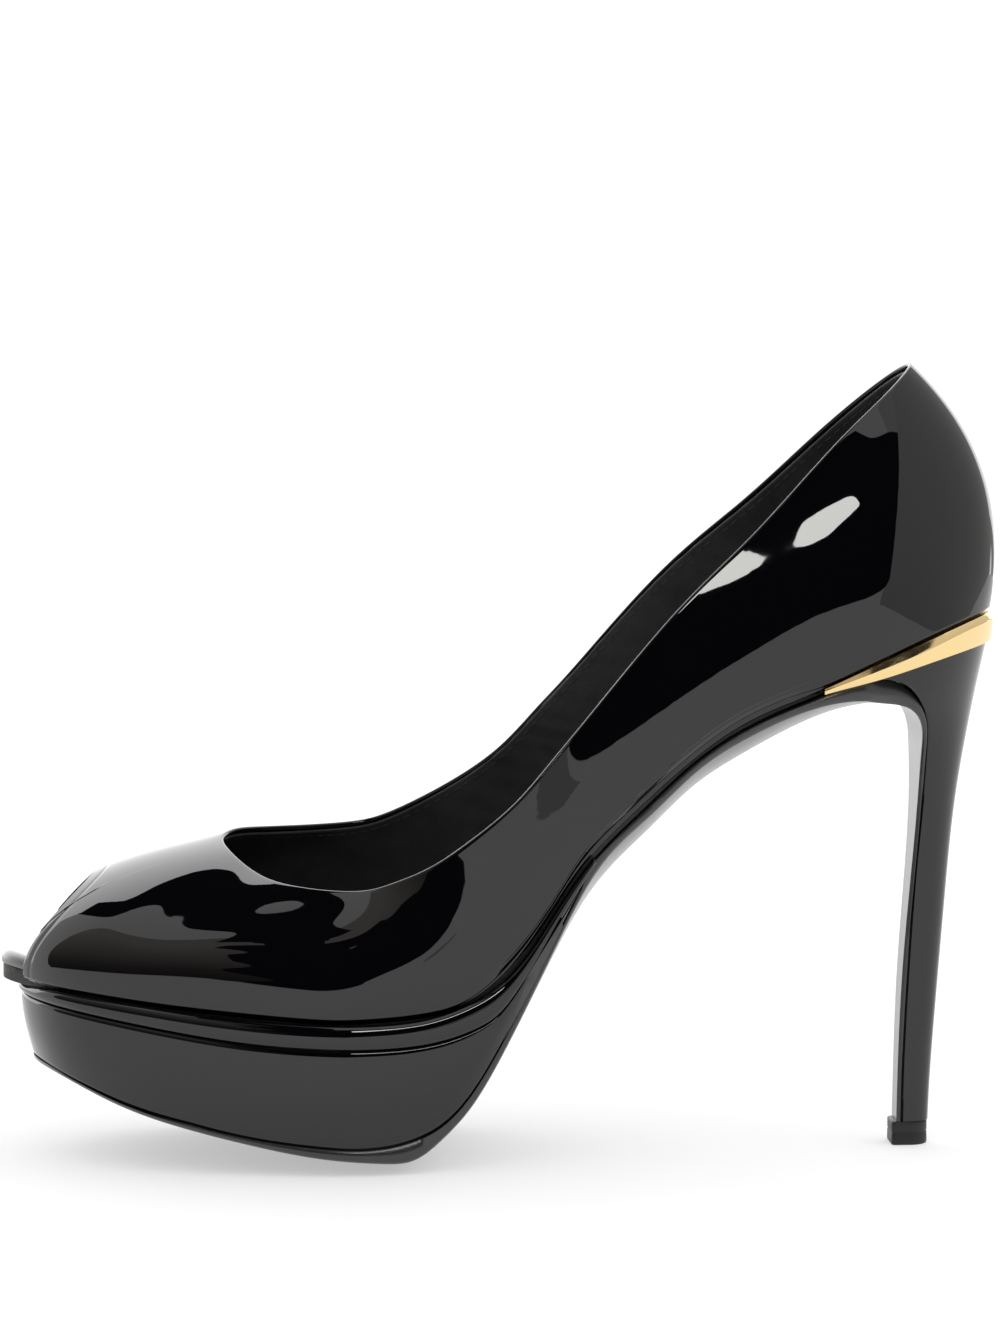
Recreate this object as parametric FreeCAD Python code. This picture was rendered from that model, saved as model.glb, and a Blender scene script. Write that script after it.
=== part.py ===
import FreeCAD, Part

import math
import os

from FreeCAD import Vector

# A left platform pump with an open toe and a stiletto heel, in millimetres.
# +X runs from the toe to the heel, -Y is the outer (lateral) side, +Z is up.
# The platform's tread and the heel's top piece stand on z = 0.

# ---------------------------------------------------------------- driving dimensions

GLUE_GAP = 0.05
UPPER_THICKNESS = 1.1
LINING_THICKNESS = 0.8
COUNTER_THICKNESS = 0.7
LINING_GAP = 0.15
FLANGE_THICKNESS = 1.1
FEATHER_ROUNDING = 0.8

# Insole layers, heights above the feather line.
BOARD_LEVELS = (0.4, 1.3)
CUSHION_LEVELS = (1.35, 2.7)
SOCK_LEVELS = (2.75, 3.6)

LASTING_MARGIN = ((-116, 13.0), (20, 13.0), (60, 12.5), (85, 10.0), (100, 9.5), (116, 9.5))
CAVITY_CLEARANCE = 0.15

# Inside the lasting margin: cork in front, a slotted fibre board behind it. Heights are
# above the feather line.
FILLER_LEVELS = (-FLANGE_THICKNESS, 0.05)
FILLER_END_X = -20.0
SHANK_START_X = -6.0
SHANK_END_X = 93.5
SHANK_HALF_WIDTH = 5.5

RAND_DROP = 1.5
RAND_WALL = 1.4
RAND_END_X = 15.0
PLATFORM_END_X = 12.0
PLATFORM_COVER_THICKNESS = 0.9
OUTSOLE_THICKNESS = 2.6
OUTSOLE_STEP_X = RAND_END_X + GLUE_GAP
WAIST_FILLER_START_X = 16.0
WAIST_FILLER_END_X = 76.0
WAIST_FILLER_INSET = 6.0

HEEL_COVER_THICKNESS = 0.8
HEEL_FOOT_Z = 5.35
STRIP_PROUD = 1.1
STRIP_TOP_PROUD = 0.77
STRIP_RIDGE_SHARE = 0.55
STRIP_WALL = 1.2
STRIP_DROP = 0.2
STRIP_LEAST_HEIGHT = 0.4
TOP_PIECE_HEIGHT = 5.3
TOP_PIECE_HALF_WIDTH = 4.25
TOP_PIECE_FRONT_X = 87.7
TOP_PIECE_REAR_X = 96.2

# Tube up the heel, and the pin of the top piece that is driven into its bore.
DOWEL_FOOT = Vector(92.2, 0, HEEL_FOOT_Z)
DOWEL_LEAN = Vector(5.1, 0, 64.6).normalize()
DOWEL_RADIUS = 2.1
DOWEL_BORE_RADIUS = 1.2
DOWEL_LENGTH = 64.0
DOWEL_FOOT_GAP = 0.2
TIP_PIN_RADIUS = 1.15
TIP_PIN_LENGTH = 16.0
TIP_PIN_DROP = 3.4
TIP_PIN_HEAD_RADIUS = 2.6
TIP_PIN_HEAD_HEIGHT = 1.2
TIP_PIN_CLEARANCE = 0.02

# Fasteners of the seat and the shank: shaft radius, length, head radius, head height.
SEAT_DOWN = Vector(0.31, 0, -0.95).normalize()
HEAD_SINK = 0.1
HEEL_SCREW = (1.6, 20.0, 3.4, 0.8)
HEEL_SCREW_X = 90.0
HEEL_NAIL = (0.8, 10.5, 1.7, 0.6)
HEEL_NAIL_PLACES = [(89.5, -11.5), (89.5, 11.5), (99, -8.5), (99, 8.5)]
SHANK_RIVET_RADIUS = 1.5
SHANK_RIVET_HEAD = (2.6, 0.5)
SHANK_RIVET_PLACES = (8.0, 58.0)
DRILL_CLEARANCE = 0.05
HOLE_RISE = 3.0

# Where the layers are cut off under the toe and behind the heel, outside their outlines.
LAYER_START_X = -115.0
LAYER_END_X = 115.0
PLATFORM_START_X = -114.0
RAND_START_X = -113.0
OUTSOLE_START_X = -110.0
HEEL_BACK_X = 114.0

# Sizes of the shapes that parts are cut out with, all larger than the shoe.
REACH = 70.0
CEILING = 220.0
OVERRUN = 10.0
LEAST_TAPER_HEIGHT = 10.0


class Profile:
    """A smooth curve of one value against a position, through a few points."""

    def __init__(self, *points):
        self.points = [Vector(place, 0, value) for place, value in points]
        self.curve = Part.BSplineCurve()
        self.curve.interpolate(self.points)

    def parameter(self, place):
        low = self.curve.FirstParameter
        high = self.curve.LastParameter
        for _ in range(50):
            middle = (low + high) / 2
            if self.curve.value(middle).x < place:
                low = middle
            else:
                high = middle
        return low

    def at(self, place):
        return self.curve.value(self.parameter(place)).z

    def raised(self, lift):
        return Profile(*[(p.x, p.z + lift) for p in self.points])

    def edge(self, start, end):
        return self.curve.toShape(self.parameter(start), self.parameter(end))


# Side-view curves, height against X.
FEATHER_LINE = Profile(
    (-116, 41.2), (-104, 40.0), (-90, 38.9), (-69, 36.6), (-48, 34.7), (-28, 34.3),
    (-17, 35.4), (-9, 37.9), (-2, 41.8), (5, 49.3), (12, 59.6), (20, 69.9), (30, 79.6),
    (40, 88.8), (50, 95.8), (60, 100.7), (70, 104.8), (81, 110.0), (90, 113.9),
    (102, 118.3), (116, 121.6))
RAND_BOTTOM = Profile(
    (-114, 36.9), (-100, 35.6), (-83, 33.4), (-69, 31.2), (-55, 29.4), (-41, 28.5),
    (-28, 28.3), (-14, 29.7), (-7, 31.9), (-2, 34.9), (4, 42.6), (11, 53.6), (18, 64.6))
OUTSOLE_TOP = Profile(
    (-114, 27.8), (-103, 22.9), (-83, 15.6), (-69, 11.3), (-55, 8.2), (-41, 6.4),
    (-28, 6.1), (-20.7, 7.6), (-13.7, 11.2), (-8, 17.2), (-2, 26.7), (7, 43.5), (17, 62.9))
OUTSOLE_BOTTOM = Profile(
    (-114, 26.2), (-102, 20.4), (-83, 11.5), (-69, 7.0), (-55, 3.6), (-41, 0.9),
    (-27, -0.5), (-20, 0.2), (-14, 4.4), (-8, 10.4), (0.3, 23.7), (8.4, 39.0),
    (18.5, 56.5), (31.9, 71.2), (42.1, 81.0), (52.3, 87.8), (62.5, 93.4), (72.7, 97.9),
    (83.5, 100.5), (95, 102.2))
STRIP_LOWER = Profile(
    (60, 100.2), (69, 103.3), (81, 106.6), (92.4, 110.0), (102, 112.4), (114, 114.6))

# Cross-section values against X: how much the sole's edges curl up above its centre,
# and the sole's half width and middle.
SOLE_CURL = Profile(
    (-114, 1.5), (-95, 2.6), (-60, 3.5), (-27, 3.8), (-14, 4.3), (-6, 5.0), (6, 5.8),
    (13, 6.8), (20, 8.2), (31, 7.4), (50, 7.0), (61, 6.3), (71, 4.4), (95, 3.2))
SOLE_HALF_WIDTH = Profile(
    (-114, 12.0), (-104, 17.0), (-90, 27.0), (-70, 34.0), (-45, 37.0), (-18, 34.6),
    (6, 28.4), (27, 24.1), (48, 23.1), (68, 23.5), (95, 21.0))
SOLE_MIDDLE = Profile(
    (-114, 2.5), (-90, 1.8), (-70, 1.0), (-45, -0.3), (-18, -1.4), (6, -1.4), (27, -1.4),
    (48, -1.5), (68, -0.7), (95, 0.0))
SOLE_STATIONS = (-112, -100, -85, -70, -55, -41, -30, -24, -18, -12, -6, 0, 6, 12, 18, 25,
                 32, 42, 52, 62, 72, 82, 92)
SOLE_SHARES = (-1.4, -0.7, 0.0, 0.7, 1.4)

# How far each layer's outline stands in from the feather line's, against X.
SOLE_INSET = Profile(
    (-116, 5.6), (-109, 5.0), (-103, 4.0), (-90, 3.2), (-70, 2.8), (-30, 2.8), (0, 2.6),
    (15, 1.8), (40, 1.4), (70, 1.5), (90, 2.6), (116, 2.6))
PLATFORM_INSET = Profile(
    (-116, 2.7), (-109, 2.4), (-100, 1.1), (-85, 0.4), (-40, 0.3), (0, 0.5), (20, 0.9),
    (116, 0.9))
RAND_INSET = Profile(
    (-116, 2.2), (-109, 2.0), (-98, 0.7), (-85, -0.1), (0, -0.2), (20, 0.4), (116, 0.4))
STRIP_LOWER_INSET = Profile((-116, 0), (60, 0), (80, 0.4), (95, 0.8), (116, 0.8))
INSOLE_INSET = Profile(
    (-116, -3.2), (-109, -1.6), (-103.5, 3.0), (-98, 3.0), (-85, 2.7), (-60, 2.4),
    (0, 2.3), (40, 2.3), (60, 3.1), (116, 3.1))

# Heel column, values against height: half width, rear face and depth of the rounded back.
HEEL_HALF_WIDTH = Profile(
    (0, 4.2), (15, 4.3), (30, 4.6), (51, 5.2), (70, 6.5), (82, 8.5), (92, 12.0),
    (97, 15.0), (103, 19.4), (110, 23.0), (116, 24.4), (124, 25.0))
HEEL_REAR = Profile(
    (0, 96.2), (11, 96.6), (32, 98.0), (56, 99.9), (80, 102.3), (94, 104.6),
    (104, 106.5), (112, 108.2), (124, 110.6))
HEEL_BACK_DEPTH = Profile(
    (0, 4.6), (30, 4.8), (56, 5.8), (80, 9.0), (92, 13.5), (100, 19.0), (110, 25.0),
    (124, 28.0))
HEEL_SECTION_HEIGHTS = (3, 18, 34, 50, 64, 75, 83, 90, 96, 102, 108, 114, 121)
HEEL_SECTION_FRONT = 60.0
QUARTER_HANDLE = 0.5523

# Side-view curves of the heel: where the outsole and its breast flap meet the heel block,
# and the flap's front face, both from the waist down to the tip.
HEEL_BREAST = [
    (77, 106.3), (81, 106.4), (85.5, 106.1), (88.6, 104.7), (91.6, 101.4), (93.5, 96.9),
    (94.1, 90), (93.9, 81), (92.7, 64), (91.2, 40), (90.3, 20), (90.0, HEEL_FOOT_Z)]
FLAP_FRONT = [
    (83.5, 100.5), (87.3, 100.3), (90.4, 98.8), (92.3, 95.9), (92.9, 90), (92.7, 81),
    (91.7, 64), (89.9, 40), (89.1, 20), (88.8, HEEL_FOOT_Z)]

# The opening at the toe: side-view edge of the upper, from the vamp's ridge to the sole.
PEEP_EDGE = [
    (-87.6, 65.5), (-90.7, 62.1), (-94.2, 58.6), (-97.7, 54.9), (-101.8, 50.0),
    (-104.5, 44.8), (-104.9, 41.6), (-104.1, 37.8)]

# Ribs of the upper from the toe along the lateral side to the heel and back along the
# medial side: feather point (x, y), topline point, then the lower and the upper handle
# of the rib's curve (share of the chord, distance outwards).
THIRD = 1 / 3
RIBS = [
    ((-109, 3), (-61.3, 1.5, 69.8), (0.145, 15.1), (0.43, 11.1)),
    ((-103.5, -14), (-59.5, -6.5, 67.9), (0.16, 15.0), (0.42, 11.0)),
    ((-91, -25.8), (-55.5, -14, 65.2), (0.2, 13), (0.4, 9)),
    ((-72, -33.2), (-47.8, -22, 62.7), (THIRD, 10), (THIRD, 7)),
    ((-46, -37.6), (-34, -28.5, 61.9), (THIRD, 6.5), (THIRD, 4.5)),
    ((-32, -38.2), (-25.5, -31.9, 63.9), (THIRD, 5.2), (THIRD, 3.0)),
    ((-18, -36.0), (-17, -34.1, 67.6), (THIRD, 3.2), (THIRD, 0.8)),
    ((-6, -33.1), (-8, -33.7, 73.4), (THIRD, 1.9), (THIRD, 0.5)),
    ((6, -29.7), (1.5, -32.0, 81), (THIRD, 2.0), (THIRD, 0.5)),
    ((16, -27.2), (9.6, -29.8, 89.9), (THIRD, 2.1), (THIRD, 0.6)),
    ((27, -25.5), (19, -27.4, 101), (THIRD, 2.2), (THIRD, 1.2)),
    ((48, -24.6), (37, -24.5, 122), (THIRD, 2.8), (THIRD, 1.7)),
    ((68, -24.2), (54, -22.5, 138.8), (THIRD, 3.5), (THIRD, 2.8)),
    ((87, -24.2), (71, -19.8, 157), (THIRD, 4.5), (THIRD, 4.5)),
    ((102, -15.2), (84.5, -12.3, 169.2), (THIRD, 6), (THIRD, 7)),
    ((109.3, 0), (91.2, 0, 175.4), (THIRD, 10.9), (THIRD, 10.9)),
    ((102.5, 15), (85, 12.2, 170.3), (THIRD, 6.5), (THIRD, 7)),
    ((88, 23.4), (72, 19.3, 158.5), (THIRD, 4.5), (THIRD, 4.8)),
    ((68, 22.8), (56, 22.2, 143.5), (THIRD, 3.5), (THIRD, 2.8)),
    ((48, 21.6), (38, 23.2, 127.8), (THIRD, 3.5), (THIRD, 1.5)),
    ((27, 22.8), (19, 25, 106.5), (THIRD, 4), (THIRD, 1)),
    ((16, 24.6), (9.8, 26, 96.4), (THIRD, 4.5), (THIRD, 1.7)),
    ((5, 27), (1.5, 27, 87.6), (THIRD, 5), (THIRD, 2.5)),
    ((-7, 30.4), (-8, 28.2, 80.6), (THIRD, 5.8), (THIRD, 3.3)),
    ((-18, 33.2), (-17, 29, 75.6), (THIRD, 6.5), (THIRD, 4)),
    ((-31, 35.9), (-25.5, 29, 71.9), (THIRD, 7.2), (THIRD, 5)),
    ((-44, 37), (-34, 28, 70.4), (THIRD, 8), (THIRD, 6)),
    ((-68, 35.2), (-48, 21.5, 70.4), (THIRD, 11.5), (THIRD, 8)),
    ((-88, 29.5), (-56, 13.5, 71.1), (0.2, 13.5), (0.4, 9.5)),
    ((-102.5, 18), (-59.8, 7.8, 70.9), (0.16, 15.2), (0.42, 11.2)),
]
RIB_COUNT = len(RIBS)
COUNTER_RIBS = (11, 19)
STRIP_RIBS = (12, 18)
RING_CUTS = (0, 8, 15, 22, RIB_COUNT)
COUNTER_RANGE = (0.03, 0.8)
POLE_ROUNDS = 60


# ---------------------------------------------------------------- the shoe's surfaces

def outward_in_plan(rib):
    """Unit vector in plan that points out of the shoe at a rib."""
    before = RIBS[rib - 1][0]
    after = RIBS[(rib + 1) % RIB_COUNT][0]
    along = Vector(after[0] - before[0], after[1] - before[1], 0).normalize()
    return Vector(along.y, -along.x, 0)


def outline_points(inset):
    """Plan points of the feather line moved in by inset, a number or a Profile of X."""
    points = []
    for rib in range(RIB_COUNT):
        x, y = RIBS[rib][0]
        distance = inset.at(x) if isinstance(inset, Profile) else inset
        points.append(Vector(x, y, 0) - outward_in_plan(rib) * distance)
    return points


def rib_curve(rib):
    """The four control points of a rib, from the feather line to the topline."""
    (x, y), top, (low_share, low_out), (high_share, high_out) = RIBS[rib]
    foot = Vector(x, y, FEATHER_LINE.at(x))
    crest = Vector(*top)
    chord = crest - foot
    unit = Vector(chord).normalize()
    flat = outward_in_plan(rib)
    out = (flat - unit * flat.dot(unit)).normalize()
    low = foot + chord * low_share + out * low_out
    high = crest - chord * high_share + out * high_out
    return [foot, low, high, crest]


def bezier_point(controls, share):
    rest = 1 - share
    weights = (rest ** 3, 3 * rest ** 2 * share, 3 * rest * share ** 2, share ** 3)
    total = Vector(0, 0, 0)
    for control, weight in zip(controls, weights):
        total += control * weight
    return total


def bezier_direction(controls, share):
    step = 0.01
    start = bezier_point(controls, max(share - step, 0))
    end = bezier_point(controls, min(share + step, 1))
    return (end - start).normalize()


RIB_CURVES = [rib_curve(rib) for rib in range(RIB_COUNT)]


def outward_normal(rib, row):
    """Unit normal of the upper's outer surface at a rib, a third of the way per row."""
    share = row / 3
    before = bezier_point(RIB_CURVES[rib - 1], share)
    after = bezier_point(RIB_CURVES[(rib + 1) % RIB_COUNT], share)
    return (after - before).cross(bezier_direction(RIB_CURVES[rib], share)).normalize()


def wall_rows(depth):
    """Four rings of control points of the wall that lies depth below the outer surface.

    depth is one number per rib. The lowest ring stays at the height of the feather line.
    """
    rows = [[], [], [], []]
    for rib in range(RIB_COUNT):
        foot = RIB_CURVES[rib][0] - outward_in_plan(rib) * depth[rib]
        rows[0].append(Vector(foot.x, foot.y, FEATHER_LINE.at(foot.x)))
        for row in (1, 2, 3):
            rows[row].append(RIB_CURVES[rib][row] - outward_normal(rib, row) * depth[rib])
    return rows


def even(depth):
    return [depth] * RIB_COUNT


def ring_at(inset, lift):
    """Ring of points that follows the feather line, moved in by inset and up by lift."""
    return [Vector(p.x, p.y, FEATHER_LINE.at(p.x) + lift) for p in outline_points(inset)]


def ring_poles(points):
    """Poles of the closed even cubic spline that passes through the points.

    Each round at least halves the error, so the poles have settled at the end.
    """
    count = len(points)
    poles = list(points)
    for _ in range(POLE_ROUNDS):
        poles = [(point * 6 - poles[i - 1] - poles[(i + 1) % count]) * 0.25
                 for i, point in enumerate(points)]
    return poles[-1:] + poles[:-1]


def ring_surface(rows):
    """Surface through closed rings: straight between two rows, cubic between four."""
    degree = len(rows) - 1
    pole_rows = [ring_poles(row) for row in rows]
    count = len(rows[0])
    grid = [[poles[i] for poles in pole_rows] for i in range(count)]
    surface = Part.BSplineSurface()
    surface.buildFromPolesMultsKnots(
        grid, [1] * (count + 1), [degree + 1, degree + 1], list(range(count + 1)), [0, 1],
        True, False, 3, degree)
    return surface


def ring_faces(rows):
    """The ring surface as four faces, so that none of them closes on itself."""
    faces = []
    for start, end in zip(RING_CUTS, RING_CUTS[1:]):
        piece = ring_surface(rows)
        piece.segment(start, end, 0, 1)
        faces.append(piece.toShape())
    return faces


def ring_wire(points):
    """Closed smooth wire through the points, in four edges."""
    poles = ring_poles(points)
    count = len(poles)
    edges = []
    for start, end in zip(RING_CUTS, RING_CUTS[1:]):
        curve = Part.BSplineCurve()
        curve.buildFromPolesMultsKnots(
            poles, [1] * (count + 1), list(range(count + 1)), True, 3)
        curve.segment(start, end)
        edges.append(curve.toShape())
    return Part.Wire(edges)


def sewn_solid(faces):
    shell = Part.Compound(faces)
    shell.sewShape()
    solid = Part.makeSolid(shell.Shells[0])
    if solid.Volume < 0:
        solid.reverse()
    return solid


def ring_solid(row_groups):
    faces = []
    for rows in row_groups:
        faces += ring_faces(rows)
    return sewn_solid(faces)


def outline_prism(inset):
    """Upright prism over the feather line's plan outline, moved in by inset."""
    face = Part.Face(ring_wire(outline_points(inset)))
    face.translate(Vector(0, 0, -REACH))
    return face.extrude(Vector(0, 0, REACH + CEILING))


def crosswise_prism(edges):
    """Prism that runs the shoe's whole width, from edges that close a side-view loop."""
    wire = Part.Wire(Part.__sortEdges__(edges))
    face = Part.Face(wire)
    face.translate(Vector(0, -REACH, 0))
    return face.extrude(Vector(0, 2 * REACH, 0))


def side_line(start, end):
    return Part.makeLine(Vector(start[0], 0, start[1]), Vector(end[0], 0, end[1]))


def side_spline(points):
    curve = Part.BSplineCurve()
    curve.interpolate([Vector(x, 0, z) for x, z in points])
    return curve.toShape()


def slab(lower, upper, start, end):
    """Full-width slab between two height profiles, from one X to another."""
    edges = [
        lower.edge(start, end),
        side_line((end, lower.at(end)), (end, upper.at(end))),
        upper.edge(start, end),
        side_line((start, lower.at(start)), (start, upper.at(start))),
    ]
    return crosswise_prism(edges)


def layer(levels, start, end):
    """Slab that follows the feather line between two heights above it."""
    return slab(FEATHER_LINE.raised(levels[0]), FEATHER_LINE.raised(levels[1]), start, end)


def space_beyond(x):
    return Part.makeBox(CEILING, 2 * REACH, 2 * CEILING, Vector(x, -REACH, -REACH))


def tapered_prism(top_inset, bottom_inset, top_z, bottom_z):
    """Prism that draws in from the top outline to the bottom one, carried past both."""
    high = []
    low = []
    tops = outline_points(top_inset)
    bottoms = outline_points(bottom_inset)
    for rib in range(RIB_COUNT):
        x = min(RIBS[rib][0][0], PLATFORM_END_X)
        span = max(top_z.at(x) - bottom_z.at(x), LEAST_TAPER_HEIGHT)
        middle_x = min(x, 0)
        middle_z = (top_z.at(middle_x) + bottom_z.at(middle_x)) / 2
        middle = (tops[rib] + bottoms[rib]) * 0.5
        slope = (tops[rib] - bottoms[rib]) * (1 / span)
        high.append(middle + slope * (REACH - middle_z) + Vector(0, 0, REACH))
        low.append(middle - slope * (middle_z + OVERRUN) + Vector(0, 0, -OVERRUN))
    caps = [Part.Face(ring_wire(ring)) for ring in (low, high)]
    return sewn_solid(ring_faces([low, high]) + caps)


# ---------------------------------------------------------------- upper and lining

def lasting_margin(extra):
    """Width of the upper's turned-under margin against X, with some extra width."""
    return Profile(*[(x, width + extra) for x, width in LASTING_MARGIN])


def peep_cutter():
    """Everything in front of the toe opening's edge."""
    edges = [side_spline(PEEP_EDGE)]
    start = PEEP_EDGE[0]
    end = PEEP_EDGE[-1]
    corners = [start, (-150, start[1]), (-150, end[1]), end]
    edges += [side_line(a, b) for a, b in zip(corners, corners[1:])]
    return crosswise_prism(edges)


def make_upper():
    """Patent wall from the feather line to the topline, with its margin lasted under."""
    outer = wall_rows(even(0))
    inner = wall_rows(even(UPPER_THICKNESS))
    turned = ring_at(FEATHER_ROUNDING, -FLANGE_THICKNESS)
    margin_low = ring_at(lasting_margin(0), -FLANGE_THICKNESS)
    margin_high = ring_at(lasting_margin(0), 0)
    groups = [
        outer,
        [outer[0], turned],
        [turned, margin_low],
        [margin_low, margin_high],
        [margin_high, inner[0]],
        inner,
        [inner[3], outer[3]],
    ]
    return ring_solid(groups).cut(peep_cutter())


def lining_depths():
    """Depth of the lining's outer face at each rib: deeper where the counter sits."""
    front = UPPER_THICKNESS + LINING_GAP
    heel = UPPER_THICKNESS + COUNTER_THICKNESS + LINING_GAP
    first, last = COUNTER_RIBS
    return [heel if first <= rib <= last else front for rib in range(RIB_COUNT)]


def make_lining():
    outer_depth = lining_depths()
    inner_depth = [depth + LINING_THICKNESS for depth in outer_depth]
    outer = wall_rows(outer_depth)
    inner = wall_rows(inner_depth)
    for row in (outer[0], inner[0]):
        for point in row:
            point.z += GLUE_GAP
    groups = [outer, [outer[0], inner[0]], inner, [inner[3], outer[3]]]
    return ring_solid(groups).cut(peep_cutter())


def part_of_curve(controls, start, end):
    """Control points of the stretch of a cubic curve between two shares of it."""
    def split(points, share):
        first = [points[0]]
        last = [points[-1]]
        while len(points) > 1:
            points = [a + (b - a) * share for a, b in zip(points, points[1:])]
            first.append(points[0])
            last.insert(0, points[-1])
        return first, last

    upto_end = split(controls, end)[0]
    return split(upto_end, start / end)[1]


def make_heel_counter():
    """Stiffener between the upper and the lining round the heel."""
    start, end = COUNTER_RIBS
    sheets = []
    for depth in (UPPER_THICKNESS + GLUE_GAP, UPPER_THICKNESS + GLUE_GAP + COUNTER_THICKNESS):
        rows = wall_rows(even(depth))
        stretches = [part_of_curve(list(rib), *COUNTER_RANGE) for rib in zip(*rows)]
        sheets.append([list(row) for row in zip(*stretches)])
    outer, inner = sheets
    surfaces = []
    for rows in (outer, inner, [outer[0], inner[0]], [outer[3], inner[3]]):
        surface = ring_surface(rows)
        surface.segment(start, end, 0, 1)
        surfaces.append(surface)
    faces = [surface.toShape() for surface in surfaces]
    for place in (start, end):
        edges = [surface.uIso(place).toShape() for surface in surfaces[:2]]
        faces.append(Part.makeRuledSurface(*edges))
    return sewn_solid(faces)


# ---------------------------------------------------------------- insole parts

def insole_layer(levels):
    return layer(levels, LAYER_START_X, LAYER_END_X).common(outline_prism(INSOLE_INSET))


def margin_cavity():
    return outline_prism(lasting_margin(CAVITY_CLEARANCE))


def make_forepart_filler():
    return layer(FILLER_LEVELS, LAYER_START_X, FILLER_END_X).common(margin_cavity())


def shank_slot(clearance):
    length = SHANK_END_X - SHANK_START_X + 2 * clearance
    width = 2 * (SHANK_HALF_WIDTH + clearance)
    corner = Vector(SHANK_START_X - clearance, -SHANK_HALF_WIDTH - clearance, -REACH)
    return Part.makeBox(length, width, REACH + CEILING, corner)


def make_shank_board():
    board = layer(FILLER_LEVELS, FILLER_END_X + GLUE_GAP, LAYER_END_X)
    return board.common(margin_cavity()).cut(shank_slot(GLUE_GAP))


def make_steel_shank():
    return layer((-FLANGE_THICKNESS, 0), FILLER_END_X, LAYER_END_X).common(shank_slot(0))


# ---------------------------------------------------------------- platform and sole

def rand_slab():
    return slab(RAND_BOTTOM.raised(GLUE_GAP), FEATHER_LINE.raised(-RAND_DROP),
                RAND_START_X, RAND_END_X)


def make_midsole_board():
    """Board under the lasted upper, inside the rand."""
    return rand_slab().common(outline_prism(RAND_INSET.raised(RAND_WALL + GLUE_GAP)))


def make_rand_band():
    """Narrow patent band between the upper and the platform."""
    band = rand_slab().common(outline_prism(RAND_INSET))
    return band.cut(outline_prism(RAND_INSET.raised(RAND_WALL)))


def platform_slab():
    return slab(OUTSOLE_TOP.raised(GLUE_GAP), RAND_BOTTOM, PLATFORM_START_X, PLATFORM_END_X)


def platform_body(inward):
    """The platform's tapered outside, moved in by some distance."""
    return tapered_prism(PLATFORM_INSET.raised(inward), SOLE_INSET.raised(inward),
                         RAND_BOTTOM, OUTSOLE_TOP)


def make_platform_core():
    return platform_slab().common(platform_body(PLATFORM_COVER_THICKNESS + GLUE_GAP))


def make_platform_cover():
    shell = platform_slab().common(platform_body(0))
    return shell.cut(platform_body(PLATFORM_COVER_THICKNESS))


def crowned_surface(lift):
    """The sole's underside: a curve in side view whose edges curl up in cross-section."""
    grid = []
    for x in SOLE_STATIONS:
        centre = OUTSOLE_BOTTOM.at(x) + lift
        half = SOLE_HALF_WIDTH.at(x)
        middle = SOLE_MIDDLE.at(x)
        curl = SOLE_CURL.at(x)
        row = []
        for share in SOLE_SHARES:
            row.append(Vector(x, middle + share * half, centre + curl * share * share))
        grid.append(row)
    surface = Part.BSplineSurface()
    surface.interpolate(grid)
    return surface.toShape()


def above_sole(lift):
    return crowned_surface(lift).extrude(Vector(0, 0, CEILING))


def outsole_side_prism():
    """Side view of the outsole: platform tread, rise, waist and the heel's breast flap."""
    waist_top = FEATHER_LINE.raised(-RAND_DROP)
    start = OUTSOLE_START_X
    step = OUTSOLE_STEP_X
    join = FLAP_FRONT[0][0]
    depth = -REACH / 2
    edges = [
        OUTSOLE_TOP.edge(start, step),
        side_line((step, OUTSOLE_TOP.at(step)), (step, waist_top.at(step))),
        waist_top.edge(step, HEEL_BREAST[0][0]),
        side_line((HEEL_BREAST[0][0], waist_top.at(HEEL_BREAST[0][0])), HEEL_BREAST[0]),
        side_spline(HEEL_BREAST),
        side_line(HEEL_BREAST[-1], FLAP_FRONT[-1]),
        side_spline(FLAP_FRONT),
        side_line(FLAP_FRONT[0], (join, depth)),
        side_line((join, depth), (start, depth)),
        side_line((start, depth), (start, OUTSOLE_TOP.at(start))),
    ]
    return crosswise_prism(edges)


def make_outsole():
    side = outsole_side_prism()
    join = space_beyond(FLAP_FRONT[0][0])
    floor = Part.makeBox(2 * CEILING, 2 * REACH, CEILING, Vector(-CEILING, -REACH, 0))
    sole = side.cut(join).common(outline_prism(SOLE_INSET))
    sole = sole.common(above_sole(0)).common(floor).cut(filler_space())
    flap = side.common(join).common(heel_flare(0))
    return sole.fuse(flap).removeSplitter()


def waist_block(top, gap):
    """Block over the outsole's leather in the waist, smaller by a gap all round."""
    body = slab(OUTSOLE_BOTTOM.raised(-OUTSOLE_THICKNESS), top,
                WAIST_FILLER_START_X + gap, WAIST_FILLER_END_X - gap)
    block = body.common(outline_prism(WAIST_FILLER_INSET + gap))
    return block.common(above_sole(OUTSOLE_THICKNESS + gap))


def filler_space():
    """The hollow of the waist, open at the top."""
    return waist_block(FEATHER_LINE, 0)


def make_waist_filler():
    return waist_block(FEATHER_LINE.raised(-RAND_DROP), GLUE_GAP)


# ---------------------------------------------------------------- heel

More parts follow.
